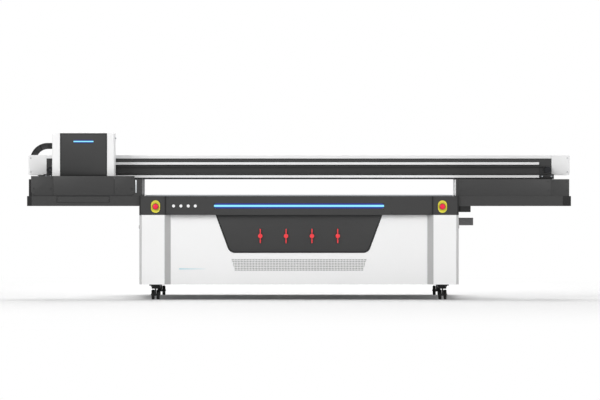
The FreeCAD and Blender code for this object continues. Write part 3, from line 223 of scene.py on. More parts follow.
def makeLens(name, middle, half, glow):
    # frosted acrylic over a row of LEDs: pale cyan along the middle, deep blue where the light fades
    material, tree, shader = newMaterial(name)
    shader.inputs["Roughness"].default_value = 0.3
    shader.inputs["Emission Strength"].default_value = glow
    place = addNode(tree, "ShaderNodeTexCoord").outputs["Object"]
    height = addNode(tree, "ShaderNodeSeparateXYZ", links={0: place}).outputs["Z"]
    away = addNode(tree, "ShaderNodeMath", {"operation": "SUBTRACT", 1: middle}, {0: height}).outputs[0]
    reach = addNode(tree, "ShaderNodeMath", {"operation": "ABSOLUTE"}, {0: away}).outputs[0]
    share = addNode(tree, "ShaderNodeMath", {"operation": "DIVIDE", 1: half}, {0: reach}).outputs[0]
    ramp = addNode(tree, "ShaderNodeValToRGB", links={0: share})
    ramp.color_ramp.elements[0].position = 0.3
    ramp.color_ramp.elements[0].color = toLinear("#93EEFF")
    ramp.color_ramp.elements[1].position = 0.52
    ramp.color_ramp.elements[1].color = toLinear("#0C1C8C")
    rim = ramp.color_ramp.elements.new(0.42)
    rim.color = toLinear("#3A8CE6")
    dots = addNode(tree, "ShaderNodeTexNoise", {"Scale": 1000 / 4, "Detail": 2}, {"Vector": place})
    bump = addNode(tree, "ShaderNodeBump", {"Strength": 0.15, "Distance": 0.0001},
                   {"Height": dots.outputs["Fac"]})
    dim = addNode(tree, "ShaderNodeMix", {"data_type": "RGBA", "blend_type": "MULTIPLY", 0: 1.0,
                  7: toLinear("#202430")}, {6: ramp.outputs[0]}).outputs[2]
    tree.links.new(dim, shader.inputs["Base Color"])
    tree.links.new(ramp.outputs[0], shader.inputs["Emission Color"])
    tree.links.new(bump.outputs[0], shader.inputs["Normal"])
    return material


print("finishes mixed")


# Modelling helpers

def freshSelection(*chosen):
    bpy.ops.object.select_all(action="DESELECT")
    for piece in chosen:
        piece.select_set(True)
    if chosen:
        bpy.context.view_layer.objects.active = chosen[0]


def addBlock(name, corner, opposite):
    # the two corners may come in any order
    freshSelection()
    middle = [(a + b) / 2 for a, b in zip(corner, opposite)]
    bpy.ops.mesh.primitive_cube_add(size=1, location=middle)
    piece = bpy.context.object
    piece.name = name
    piece.scale = [abs(b - a) for a, b in zip(corner, opposite)]
    bpy.ops.object.transform_apply(location=True, rotation=True, scale=True)
    return piece


turns = {"X": (0, math.pi / 2, 0), "Y": (-math.pi / 2, 0, 0), "Z": (0, 0, 0)}


def addRod(name, axis, middle, radius, length, sides=32):
    freshSelection()
    bpy.ops.mesh.primitive_cylinder_add(vertices=sides, radius=radius, depth=length, location=middle,
                                        rotation=turns[axis])
    piece = bpy.context.object
    piece.name = name
    bpy.ops.object.transform_apply(location=True, rotation=True, scale=True)
    return piece


def pick(piece, kind, wanted):
    # leaves the piece in edit mode with the wanted vertices, edges or faces selected
    freshSelection(piece)
    bpy.ops.object.mode_set(mode="EDIT")
    bpy.ops.mesh.select_mode(type=kind)
    bpy.ops.mesh.select_all(action="DESELECT")
    bpy.ops.object.mode_set(mode="OBJECT")
    mesh = piece.data
    if kind == "FACE":
        for face in mesh.polygons:
            face.select = wanted(face.center, face.normal)
    elif kind == "EDGE":
        for edge in mesh.edges:
            a, b = (mesh.vertices[i].co for i in edge.vertices)
            edge.select = wanted((a + b) / 2, (b - a).normalized())
    else:
        for corner in mesh.vertices:
            corner.select = wanted(corner.co)
    bpy.ops.object.mode_set(mode="EDIT")


def work(piece, kind, wanted, *steps):
    # each step is an operator and its settings, run on what was picked
    pick(piece, kind, wanted)
    for operator, settings in steps:
        operator(**settings)
    bpy.ops.object.mode_set(mode="OBJECT")
    return piece


def inset(thickness, depth=0, each=False):
    return bpy.ops.mesh.inset, {"thickness": thickness, "depth": depth, "use_individual": each}


def shift(*value):
    return bpy.ops.transform.translate, {"value": value}


def anyPart(*ignored):
    return True


def facingFront(middle, normal):
    return normal.y < -0.9


def ahead(place):
    # picks the edges in front of a Y place
    return lambda middle, direction: middle.y < place


def softenEdges(piece, wide, segments=2, wanted=anyPart):
    return work(piece, "EDGE", wanted,
                (bpy.ops.mesh.bevel, {"offset": wide, "segments": segments, "affect": "EDGES"}))


def copies(piece, offsets):
    made = []
    for offset in offsets:
        twin = piece.copy()
        twin.data = piece.data.copy()
        bpy.context.scene.collection.objects.link(twin)
        twin.data.transform(Matrix.Translation(offset))
        made.append(twin)
    bpy.data.objects.remove(piece)
    return made


def joined(name, pieces):
    freshSelection(*pieces)
    if len(pieces) > 1:
        bpy.ops.object.join()
    piece = bpy.context.object
    piece.name = name
    return piece


def settle(piece, body, finish, stands=(), smooth=35):
    freshSelection(piece)
    bpy.ops.object.shade_smooth_by_angle(angle=math.radians(smooth))
    piece.data.materials.clear()
    piece.data.materials.append(finish)
    if body:
        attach(piece, body)
    if stands:
        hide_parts(*stands)
    return piece


def upright(middle, direction):
    return abs(direction.z) > 0.99


def deepWise(middle, direction):
    return abs(direction.y) > 0.99


# CAD nodes that keep their shape

keptFinishes = {
    "base_frame": frameEnamel,
    "valve_bodies": valveBrass, "left_side_shell": whitePowderCoat, "right_side_shell": whitePowderCoat,
    "control_band": charcoalPowderCoat, "stop_plates": shadedYellow,
    "deck_covers": charcoalPowderCoat, "vacuum_table": tableAluminium, "y_rails": groundSteelY,
    "screw_supports": frameEnamel, "vacuum_blower": castAluminium, "electronics_box": galvanisedSheet,
    "power_inlet": greyAbs, "caster_plates": mouldedNylonAndPaintedShade, "left_leg": charcoalPowderCoat,
    "right_leg": charcoalPowderCoat, "gantry_bearing_blocks": zincSteel, "beam": charcoalPowderCoat,
    "x_rails": railPaintedReflection, "chain_tray": galvanisedSheet, "x_motor": mouldedNylonAndPaintedShade,
    "x_belt": beltPolyurethane, "left_station": charcoalPowderCoat, "left_tray": charcoalPowderCoat,
    "right_station": charcoalPowderCoat, "drive_pulley": blackAnodised, "idler_pulley": blackAnodised,
    "waste_drawer": charcoalPowderCoat, "cap_tray": greySilicone, "carriage_plate": milledAluminium,
    "head_plate": blackAnodised, "print_heads": blackAnodised, "left_y_screw": zincSteel,
    "right_y_screw": zincSteel,
}
for nodeName, finish in keptFinishes.items():
    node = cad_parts[nodeName]
    for materialSlot in node.material_slots:
        materialSlot.material = finish
print("CAD nodes finished:", len(keptFinishes))


# Screws: one socket head modelled, then copied to each panel

screws = {"round": 0.006, "proud": 0.002}


def socketHead():
    head = addRod("screw", "Y", (0, 0, 0), screws["round"], screws["proud"] * 2, 20)
    work(head, "FACE", facingFront,
         inset(0.0026), shift(0, 0.003, 0))
    softenEdges(head, 0.0006, 2, lambda c, d: c.y < -0.0019 and c.xz.length > 0.004)
    return head


def screwRow(name, body, spots, finish):
    settle(joined(name, copies(socketHead(), spots)), body, finish)


# Carriage: rounded white hood, dark face with a shadow gap, status light and a side knob

carriage = {"corner": 0.012, "faceCorner": 0.004, "gap": 0.008, "seamDeep": 0.0015, "wall": 0.004}


def carriageHood():
    low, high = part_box("carriage_shell")
    knobEnd = high.x
    right = knobEnd - 0.012
    hood = addBlock("carriageHood", low, (right, high.y, high.z))
    work(hood, "FACE", lambda c, n: n.y > 0.9 or n.z < -0.9, (bpy.ops.mesh.delete, {"type": "FACE"}))
    softenEdges(hood, carriage["corner"], 4, lambda c, d: c.z > low.z + 0.01 and c.y < high.y - 0.001)
    # a seam round the hood where the lift-off cap starts
    seam = high.z - 0.045
    for edge in (seam, seam - 0.002):
        work(hood, "FACE", anyPart,
             (bpy.ops.mesh.bisect, {"plane_co": (0, 0, edge), "plane_no": (0, 0, 1)}))
    work(hood, "FACE", lambda c, n: seam - 0.002 < c.z < seam and abs(n.z) < 0.2,
         (bpy.ops.transform.shrink_fatten, {"value": -carriage["seamDeep"]}))
    freshSelection(hood)
    wall = hood.modifiers.new("wall", "SOLIDIFY")
    wall.thickness = carriage["wall"]
    wall.offset = -1
    bpy.ops.object.modifier_apply(modifier="wall")
    settle(hood, "carriage", whitePowderCoat, ["carriage_shell"])
    spot = (right + 0.006, low.y + 0.08, 1.313)
    knob = addRod("carriageKnob", "X", spot, 0.008, 0.012, 24)
    softenEdges(knob, 0.0025, 3, lambda c, d: c.x > right + 0.01)
    settle(knob, "carriage", milledAluminium)


def carriageFace():
    low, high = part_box("carriage_face")
    gap = carriage["gap"]
    # a black strip behind the face's edge gap: painted shade of the gap
    surround = addBlock("carriageFaceGapShade", (low.x, high.y - 0.003, low.z), (high.x, high.y, high.z))
    softenEdges(surround, 0.001, 1)
    settle(surround, "carriage", blackRubberAndPaintedShade)
    panel = addBlock("carriageFacePanel", (low.x + gap, low.y, low.z + gap),
                     (high.x - gap, high.y - 0.001, high.z - gap))
    softenEdges(panel, carriage["faceCorner"], 3, deepWise)
    softenEdges(panel, 0.0008, 2, ahead(low.y + 0.0001))
    settle(panel, "carriage", darkTexturedCoat, ["carriage_face"])


def lightStrip(name, node, body, glow, ends):
    low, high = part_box(node)
    middle = (low.z + high.z) / 2
    half = (high.z - low.z) / 2
    lens = addBlock(name, low, high)
    softenEdges(lens, half * ends, 6, deepWise)
    softenEdges(lens, 0.0009, 2, ahead(low.y + 0.0001))
    settle(lens, body, makeLens(name + "Acrylic", middle, half, glow), [node])


carriageHood()
carriageFace()
lightStrip("carriageLight", "carriage_light", "carriage", 1.0, 0.98)
lightStrip("fasciaLight", "light_bar", "base", 1.0, 0.98)
print("carriage and lights built")


# Front controls: stop heads, valve handles and four push buttons

controls = {"bezel": (0.073, 0.1), "bezelWall": 0.009, "seam": 1.082, "seamWide": 0.014,
            "endStrip": 0.011, "profileProud": 0.0012, "valveFootHalf": 0.563,
            "valveCorner": 0.04, "buttonAcross": (-1.016, -0.957, -0.897, -0.840), "buttonTall": 0.7615}


stop = {"round": 0.021, "thick": 0.015, "back": 0.02, "shaft": 0.011, "collar": 0.0255,
        "crownSteps": (0.0022, 0.0016, 0.0009, 0.0003), "crownDraws": (0.003, 0.004, 0.005, 0.005)}


def stopHead(side):
    low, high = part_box(f"{side}_stop_button")
    middleX = (low.x + high.x) / 2
    middleZ = (low.z + high.z) / 2
    back = low.y + stop["back"]
    shaft = addRod("shaft", "Y", (middleX, (back + high.y) / 2, middleZ), stop["shaft"], high.y - back, 32)
    head = addRod("head", "Y", (middleX, back - stop["thick"] / 2, middleZ), stop["round"], stop["thick"], 48)
    # the crown is drawn in and forward in four steps
    steps = []
    for step, draw in zip(stop["crownSteps"], stop["crownDraws"]):
        steps.append((bpy.ops.mesh.extrude_region_move,
                      {"TRANSFORM_OT_translate": {"value": (0, -step, 0)}}))
        shrink = 1 - draw / stop["round"]
        steps.append((bpy.ops.transform.resize, {"value": (shrink, 1, shrink)}))
    work(head, "FACE", facingFront, *steps)
    # finger grips round the rim
    work(head, "FACE", lambda c, n: abs(n.y) < 0.3 and int(math.atan2(n.z, n.x) * 24 / math.pi + 48) % 4 == 0,
         inset(0.0004, -0.0008, True))
    softenEdges(head, 0.001, 2, lambda c, d: abs(d.y) < 0.1 and c.y > low.y + 0.0195)
    piece = joined(f"{side}StopHead", [head, shaft])
    settle(piece, f"{side}_stop", stopRed, [f"{side}_stop_button"])
    # folded bezel lip round the yellow plate's edge
    collar = addRod(f"{side}StopCollar", "Y", (middleX, -1.0375, middleZ), stop["collar"], 0.002, 48)
    work(collar, "FACE", facingFront,
         inset(0.003), shift(0, 0.0015, 0))
    settle(collar, "base", zincSteel)


# waist says how wide the arm stays at each step from its tip to the hub
valve = {"armHalf": 0.0055, "armThick": 0.01, "hub": 0.018, "hubTall": 0.014, "stem": 0.006,
         "waist": (0.78, 0.95, 0.62, 0.9)}


def valveHandle(number):
    name = f"valve_handle_{number}"
    low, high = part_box(name)
    middleX = (low.x + high.x) / 2
    middleZ = (low.z + high.z) / 2
    bar = addBlock("bar", (middleX - valve["armHalf"], low.y, low.z),
                   (middleX + valve["armHalf"], low.y + valve["armThick"], high.z))
    work(bar, "EDGE", upright, (bpy.ops.mesh.subdivide, {"number_cuts": 5}))
    # the arms swell at their ends and thin beside the hub
    span = high.z - low.z
    for step, share in enumerate(valve["waist"]):
        reach = abs(0.5 - step / 6) * span
        work(bar, "VERT", lambda co, reach=reach: abs(abs(co.z - middleZ) - reach) < 0.002,
             (bpy.ops.transform.resize, {"value": (share, 1, 1),
                                         "center_override": (middleX, low.y, middleZ)}))
    softenEdges(bar, 0.0022, 3, lambda c, d: abs(d.z) > 0.8 or c.z > high.z - 0.001 or c.z < low.z + 0.001)
    hub = addRod("hub", "Y", (middleX, low.y + valve["hubTall"] / 2, middleZ), valve["hub"],
                 valve["hubTall"], 40)
    softenEdges(hub, 0.003, 3, ahead(low.y + 0.001))
    work(hub, "FACE", lambda c, n: n.y < -0.99 and (c.xz - Vector((middleX, middleZ))).length < 0.002,
         inset(0.006, 0.0006))
    stem = addRod("stem", "Y", (middleX, (low.y + 0.012 + high.y) / 2, middleZ), valve["stem"],
                  high.y - low.y - 0.012, 24)
    settle(joined(f"valveHandle{number}", [bar, hub, stem]), f"valve_{number}", redAbs, [name])


def pushButtons():
    caps, rings = [], []
    for across in controls["buttonAcross"]:
        spot = (across, -1.0355, controls["buttonTall"])
        cap = addRod("cap", "Y", (across, -1.0375, controls["buttonTall"]), 0.0125, 0.006, 28)
        softenEdges(cap, 0.0018, 3, ahead(-1.040))
        caps.append(cap)
        ring = addRod("ring", "Y", spot, 0.016, 0.003, 28)
        softenEdges(ring, 0.001, 2, ahead(-1.0365))
        rings.append(ring)
    settle(joined("pushButtonCaps", caps), "base", whitePowderCoat)
    settle(joined("pushButtonRings", rings), "base", mouldedNylonAndPaintedShade)


def stopBezel(side):
    # a stadium-shaped yellow rim standing round the shaded plate
    low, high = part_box(f"{side}_stop_button")
    middleX = (low.x + high.x) / 2
    middleZ = (low.z + high.z) / 2
    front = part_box("stop_plates")[0].y
    wide, tall = controls["bezel"]
    rim = addBlock(f"{side}StopBezel", (middleX - wide / 2, front - 0.005, middleZ - tall / 2),
                   (middleX + wide / 2, front, middleZ + tall / 2))
    softenEdges(rim, wide / 2 - 0.0005, 10, deepWise)
    work(rim, "FACE", lambda c, n: abs(n.y) > 0.9,
         inset(controls["bezelWall"], each=True))
    work(rim, "FACE", lambda c, n: n.y < -0.9 and (c.xz - Vector((middleX, middleZ))).length < 0.005,
         shift(0, 0.0046, 0))
    softenEdges(rim, 0.0016, 3, ahead(front - 0.0049))
    settle(rim, "base", yellowEnamel)


def bandProfiles():
    low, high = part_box("control_band")
    profile = low.y - controls["profileProud"]
    half = controls["seamWide"] / 2
    strips = []
    for middle in (-controls["seam"], controls["seam"]):
        strips.append(addBlock("strip", (middle - half, profile, low.z), (middle + half, low.y, high.z)))
    for way in (-1, 1):
        strips.append(addBlock("strip", (way * high.x, profile, low.z),
                               (way * (high.x - controls["endStrip"]), low.y, high.z)))
    for strip in strips:
        softenEdges(strip, 0.0005, 2, upright)
    settle(joined("bandProfiles", strips), "base", blackRubberAndPaintedShade)


def trapezoid(name, margin, corner, nearY, farY):
    # the valve panel's outline, narrowed by a margin, with its low corners rounded
    low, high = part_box("valve_panel")
    footHalf = controls["valveFootHalf"] - margin
    piece = addBlock(name, (-high.x + margin, nearY, low.z + margin), (high.x - margin, farY, high.z))
    work(piece, "VERT", lambda co: co.z < low.z + margin + 0.001,
         (bpy.ops.transform.resize, {"value": (footHalf / (high.x - margin), 1, 1),
                                     "center_override": (0, nearY, low.z)}))
    softenEdges(piece, corner, 8, lambda c, d: abs(d.y) > 0.99 and c.z < low.z + margin + 0.001)
    return piece


def valvePanel():
    low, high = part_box("front_panel")
    sheet = addBlock("frontPanel", low, high)
    softenEdges(sheet, 0.001, 2, ahead(low.y + 0.0001))
    settle(sheet, "base", whitePowderCoat, ["front_panel"])
    face = low.y
    gasket = trapezoid("valvePanelGasket", 0, controls["valveCorner"], face - 0.0022, face)
    softenEdges(gasket, 0.0006, 1, ahead(face - 0.0021))
    settle(gasket, "base", blackRubberAndPaintedShade)
    plate = trapezoid("valvePanel", 0.011, controls["valveCorner"] - 0.006, face - 0.004, face - 0.001)
    softenEdges(plate, 0.0012, 2, ahead(face - 0.0039))
    settle(plate, "base", darkTexturedCoat, ["valve_panel"])


bandProfiles()
valvePanel()
for side in ("left", "right"):
    stopHead(side)
    stopBezel(side)
for number in (1, 2, 3, 4):
    valveHandle(number)
pushButtons()
print("controls built")


# Vent: a fine punched screen over the larger holes of the sheet, cut to the slanted outline

vent = {"topHalf": 0.547, "footHalf": 0.519, "low": 0.235, "high": 0.332, "cell": 0.0122, "bar": 0.0023}


def ventScreen():
    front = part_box("front_panel")[0].y
    across = int(2 * vent["topHalf"] / vent["cell"])
    up = int((vent["high"] - vent["low"]) / vent["cell"])
    middle = (0, front - 0.0012, (vent["low"] + vent["high"]) / 2)
    freshSelection()
    bpy.ops.mesh.primitive_grid_add(x_subdivisions=across, y_subdivisions=up, size=1, location=middle,
                                    rotation=(math.pi / 2, 0, 0))
    screen = bpy.context.object
    screen.name = "ventScreen"
    screen.scale = (2 * vent["topHalf"], vent["high"] - vent["low"], 1)
    bpy.ops.object.transform_apply(location=True, rotation=True, scale=True)
    work(screen, "FACE", anyPart,
         inset(vent["bar"], each=True),
         (bpy.ops.mesh.delete, {"type": "FACE"}))
    trimSlants(screen)
    freshSelection(screen)
    wall = screen.modifiers.new("wall", "SOLIDIFY")
    wall.thickness = 0.001
    bpy.ops.object.modifier_apply(modifier="wall")
    settle(screen, "base", whitePowderCoat)
    # the foam filter seen through the holes
    pad = addBlock("ventFilter", (-vent["topHalf"], front - 0.0009, vent["low"] + 0.002),
                   (vent["topHalf"], front - 0.0002, vent["high"] - 0.002))
    work(pad, "VERT", lambda co: co.z < vent["low"] + 0.01,
         (bpy.ops.transform.resize, {"value": (vent["footHalf"] / vent["topHalf"], 1, 1),
                                     "center_override": (0, front, vent["low"])}))
    settle(pad, "base", filterFoam)


def trimSlants(screen):
    lean = (vent["topHalf"] - vent["footHalf"]) / (vent["high"] - vent["low"])
    for way in (-1, 1):
        work(screen, "FACE", anyPart,
             (bpy.ops.mesh.bisect, {"plane_co": (way * vent["topHalf"], 0, vent["high"]),
                                    "plane_no": (way, 0, -lean), "clear_outer": True}))


ventScreen()
print("vent built")


# Pillars: folded strips beside the recessed panel and along the outer corners, painted grey as painted shade

pillar = {"inner": (1.041, 1.089), "outer": (1.274, 1.294), "front": -1.0335, "recess": -0.9935,
          "lift": 0.001, "low": 0.1265, "high": 0.6875}


def pillarStrip(name, side, across, nearY, farY, finish):
    near, far = (side * value for value in across)
    strip = addBlock(name, (near, nearY - pillar["lift"], pillar["low"]), (far, nearY, pillar["high"]))
    work(strip, "VERT", lambda co: abs(co.x - far) < 0.001,
         shift(0, farY - nearY, 0))
    settle(strip, "base", finish)


# both strips are painted grey as painted shade where they turn away from the light
for side, label in ((-1, "Left"), (1, "Right")):
    pillarStrip(f"innerStrip{label}", side, pillar["inner"], pillar["recess"], pillar["front"], innerStripPaintedShade)
    pillarStrip(f"outerStrip{label}", side, pillar["outer"], pillar["front"], pillar["front"] + 0.02,
                outerFoldPaintedShade)
print("pillar strips built")


# Accent stripe: a plain pale blue line on the front sheet, narrowed to a point at one end

stripe = {"start": -0.972, "end": -0.755, "tall": 0.251, "wide": 0.008}


def accentStripe():
    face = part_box("front_panel")[0].y
    line = addBlock("accentStripe", (stripe["start"], face - 0.0004, stripe["tall"] - stripe["wide"] / 2),
                    (stripe["end"], face, stripe["tall"] + stripe["wide"] / 2))
    work(line, "FACE", lambda c, n: n.x > 0.9, (bpy.ops.transform.resize, {"value": (1, 1, 0.1)}))
    settle(line, "base", stripeVinyl)


accentStripe()
print("stripe laid")


# Side doors: two lift-off panels a side, with louvres and quarter-turn latches

door = {"spans": ((-0.93, -0.02), (0.02, 0.93)), "low": 0.19, "high": 0.64, "proud": 0.003,
        "gasketWide": 0.005, "louvres": 7, "louvreFoot": 0.27, "louvrePitch": 0.028, "louvreLong": 0.34,
        "louvreTall": 0.014, "louvreProud": 0.006, "latch": 0.014, "latchIn": 0.06}


def sideDoors(side, label):
    # the same code serves both sides, with side at -1 or 1
    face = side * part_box("right_side_shell")[1].x
    outer = face + side * door["proud"]
    lip = door["gasketWide"]
    half = door["louvreLong"] / 2
    tall = door["high"] - 0.05
    panels, blades, latches, gasketsAndShadows = [], [], [], []
    for start, end in door["spans"]:
        gasket = addBlock("gasket", (face, start - lip, door["low"] - lip),
                          (face + side * 0.0012, end + lip, door["high"] + lip))
        softenEdges(gasket, 0.014, 3, lambda c, d: abs(d.x) > 0.99)
        gasketsAndShadows.append(gasket)
        panel = addBlock("panel", (face, start, door["low"]), (outer, end, door["high"]))
        softenEdges(panel, 0.012, 3, lambda c, d: abs(d.x) > 0.99)
        softenEdges(panel, 0.0015, 2, lambda c, d: abs(c.x - outer) < 0.0001)
        panels.append(panel)
        middle = (start + end) / 2
        for index in range(door["louvres"]):
            height = door["louvreFoot"] + index * door["louvrePitch"]
            top = height + door["louvreTall"]
            blade = addBlock("blade", (outer, middle - half, height),
                             (outer + side * door["louvreProud"], middle + half, top))
            # the blade's top edge leans back to the panel
            work(blade, "VERT", lambda co: co.z > (height + top) / 2 and abs(co.x - outer) > 0.001,
                 shift(-side * 0.0055, 0, 0))
            softenEdges(blade, 0.0012, 2)
            blades.append(blade)
            # a dark strip under each blade: painted shadow in the louvre's opening
            gasketsAndShadows.append(addBlock("louvreShadow", (outer, middle - half + 0.004, height - 0.005),
                                   (outer + side * 0.0015, middle + half - 0.004, height + 0.001)))
        for y in (start + door["latchIn"], end - door["latchIn"]):
            latch = addRod("latch", "X", (outer + side * 0.002, y, tall), door["latch"], 0.004, 28)
            softenEdges(latch, 0.001, 2)
            slot = addBlock("slot", (outer, y - 0.009, tall - 0.002),
                            (outer + side * 0.006, y + 0.009, tall + 0.002))
            latches += [latch, slot]
    settle(joined(f"sideDoors{label}", panels), "base", whitePowderCoat)
    settle(joined(f"sideGasketsAndShadows{label}", gasketsAndShadows), "base", blackRubberAndPaintedShade)
    settle(joined(f"sideLouvres{label}", blades), "base", whitePowderCoat)
    settle(joined(f"sideLatches{label}", latches), "base", mouldedNylonAndPaintedShade)


sideDoors(-1, "Left")
sideDoors(1, "Right")
print("side doors built")


# Rear panel: a folded sheet with two lift-off doors, a slotted grille and latches, all inside its face

rear = {"doors": ((-1.22, -0.62), (0.02, 1.22)), "low": 0.19, "high": 0.79, "step": 0.002,
        "grille": (-0.56, -0.04), "grilleTall": (0.36, 0.46), "bars": 14}


def rearPanel():
    low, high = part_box("rear_panel")
    back = high.y - rear["step"]
    sheet = addBlock("rearPanel", low, (high.x, back, high.z))
    softenEdges(sheet, 0.001, 2, lambda c, d: c.y > back - 0.0001)
    settle(sheet, "base", whitePowderCoat, ["rear_panel"])
    panels, gaskets, latches, bars = [], [], [], []
    for left, right in rear["doors"]:
        panel = addBlock("panel", (left, back, rear["low"]), (right, high.y, rear["high"]))
        softenEdges(panel, 0.012, 3, deepWise)
        softenEdges(panel, 0.001, 2, lambda c, d: c.y > high.y - 0.0001)
        panels.append(panel)
        gasket = addBlock("gasket", (left - 0.005, back, rear["low"] - 0.005),
                          (right + 0.005, back + 0.0008, rear["high"] + 0.005))
        softenEdges(gasket, 0.014, 3, deepWise)
        gaskets.append(gasket)
        for x in (left + 0.07, right - 0.07):
            latch = addRod("latch", "Y", (x, high.y - 0.0012, rear["high"] - 0.05), 0.015, 0.0024, 28)
            work(latch, "FACE", lambda c, n: n.y > 0.9, inset(0.004, -0.0006))
            latches.append(latch)
    left, right = rear["grille"]
    foot, head = rear["grilleTall"]
    pad = addBlock("pad", (left, back, foot), (right, back + 0.0006, head))
    softenEdges(pad, 0.01, 3, deepWise)
    gaskets.append(pad)
    pitch = (right - left) / rear["bars"]
    for index in range(rear["bars"] + 1):
        x = left + index * pitch
        bar = addBlock("bar", (x - pitch * 0.22, back, foot - 0.004),
                       (x + pitch * 0.22, high.y, head + 0.004))
        softenEdges(bar, 0.0008, 1)
        bars.append(bar)
    for z in (foot - 0.008, head + 0.008):
        rim = addBlock("rim", (left - 0.012, back, z - 0.006), (right + 0.012, high.y, z + 0.006))
        softenEdges(rim, 0.0008, 1)
        bars.append(rim)
    settle(joined("rearDoors", panels), "base", whitePowderCoat)
    settle(joined("rearGaskets", gaskets), "base", blackRubberAndPaintedShade)
    settle(joined("rearLatches", latches), "base", mouldedNylonAndPaintedShade)
    settle(joined("rearGrille", bars), "base", whitePowderCoat)


rearPanel()
print("rear panel built")


# Beam covers: a long pressed lid and two boxed ends with rounded corners

def beamCovers():
    low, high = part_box("beam_covers")
    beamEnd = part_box("beam")[1].x
    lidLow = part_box("beam")[1].z
    lid = addBlock("beamLid", (-beamEnd + 0.001, low.y, lidLow), (beamEnd - 0.001, high.y, high.z))
    softenEdges(lid, 0.006, 3, lambda c, d: abs(d.x) > 0.99 and c.z > high.z - 0.001)
    parts = [lid]
    for way in (-1, 1):
        outer = way * high.x
        box = addBlock("beamEnd", (way * beamEnd, low.y, low.z), (outer, high.y, high.z))
        softenEdges(box, 0.014, 4, lambda c, d: abs(c.x - outer) < 0.001)
        softenEdges(box, 0.004, 2, lambda c, d: abs(d.x) > 0.99)
        parts.append(box)
    settle(joined("beamCovers", parts), "gantry", whitePowderCoat, ["beam_covers"])
    lines = [(way * (high.x - 0.02), low.y, z) for way in (-1, 1) for z in (low.z + 0.025, high.z - 0.025)]
    screwRow("beamEndScrews", "gantry", lines, zincSteel)


# Chain tray: joint straps riveted over the seams of its long rear sheet

def trayStraps():
    low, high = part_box("chain_tray")
    straps, rivets = [], []
    for across in (-1.38, -0.69, 0, 0.69, 1.38):
        strap = addBlock("strap", (across - 0.02, high.y, low.z + 0.006),
                         (across + 0.02, high.y + 0.0015, high.z - 0.006))
        softenEdges(strap, 0.004, 3, deepWise)
        straps.append(strap)
        for z in (low.z + 0.03, low.z + 0.075, low.z + 0.12, low.z + 0.165):
            for x in (across - 0.011, across + 0.011):
                rivet = addRod("rivet", "Y", (x, high.y + 0.0018, z), 0.0035, 0.0026, 12)
                softenEdges(rivet, 0.0009, 2, lambda c, d: c.y > high.y + 0.003)
                rivets.append(rivet)
    settle(joined("trayStraps", straps), "gantry", milledAluminium)
    settle(joined("trayRivets", rivets), "gantry", zincSteel)


# Vacuum table: edge trims and register pins

table = {"trim": 0.012, "trimTall": 0.0015, "pins": (-1.1, -0.4, 0.4, 1.1)}


def tableTrims():
    low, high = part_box("vacuum_table")
    wide = table["trim"]
    spans = (((low.x, low.y), (high.x, low.y + wide)), ((low.x, high.y - wide), (high.x, high.y)),
             ((low.x, low.y + wide), (low.x + wide, high.y - wide)),
             ((high.x - wide, low.y + wide), (high.x, high.y - wide)))
    trims = []
    for start, end in spans:
        trim = addBlock("trim", (*start, high.z), (*end, high.z + table["trimTall"]))
        softenEdges(trim, 0.0006, 1)
        trims.append(trim)
    settle(joined("tableTrims", trims), "base", milledAluminium)
    pins = []
    for across in table["pins"]:
        pin = addRod("pin", "Z", (across, low.y + 0.03, high.z + 0.0005), 0.006, 0.003, 20)
        softenEdges(pin, 0.0008, 2, lambda c, d: c.z > high.z + 0.001)
        pins.append(pin)
    settle(joined("registerPins", pins), "base", zincSteel)


# Print heads: a nozzle plate under each head

def headFaces():
    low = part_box("print_heads")[0]
    plates = []
    for column in range(4):
        for line in range(2):
            across = low.x + 0.03 + column * 0.08
            deep = low.y + 0.045 + line * 0.105
            plate = addBlock("nozzles", (across - 0.022, deep - 0.038, low.z - 0.001),
                             (across + 0.022, deep + 0.038, low.z + 0.001))
            work(plate, "FACE", lambda c, n: n.z < -0.9,
                 inset(0.008, -0.0005))
            plates.append(plate)
    settle(joined("nozzlePlates", plates), "heads", zincSteel)


beamCovers()
trayStraps()
tableTrims()
headFaces()
print("covers, table and heads dressed")


# Cable chain: one link modelled on its side and copied along both runs, with a spun section round the bend

chain = {"thick": 0.049, "bendLinks": 7, "perLink": 5, "pitch": 0.054, "plate": 0.005, "corner": 0.014,
         "bar": 0.018, "barThick": 0.004,
         "upperLinks": 30}


def chainLink(thick, wide):
    # a link at the origin, along X
    half = chain["pitch"] * 0.58
    parts = []
    for way in (-1, 1):
        outer = way * wide / 2
        inner = way * (wide / 2 - chain["plate"])
        plate = addBlock("plate", (-half, inner, -thick / 2), (half, outer, thick / 2))
        softenEdges(plate, chain["corner"], 4, deepWise)
        work(plate, "FACE", lambda c, n: abs(n.y) > 0.9,
             inset(0.004, -0.0008, True))
        parts.append(plate)
    for way in (-1, 1):
        outer = way * thick / 2 * 0.98
        inner = way * (thick / 2 - chain["barThick"])
        bar = addBlock("bar", (-chain["bar"] / 2, 0.004 - wide / 2, inner),
                       (chain["bar"] / 2, wide / 2 - 0.004, outer))
        softenEdges(bar, 0.0015, 1)
        parts.append(bar)
    return joined("link", parts)


def chainRun(name, node, count=None):
    low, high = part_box(node)
    count = count or max(1, round((high.x - low.x) / chain["pitch"]))
    step = (high.x - low.x) / count
    middle = ((low.y + high.y) / 2, (low.z + high.z) / 2)
    link = chainLink(high.z - low.z, high.y - low.y)
    shrink = Matrix.Diagonal((min(1, step / chain["pitch"] * 0.86), 1, 1, 1))
    link.data.transform(shrink)
    spots = [(low.x + step * (index + 0.5), *middle) for index in range(count)]
    run = joined(name, copies(link, spots))
    return run


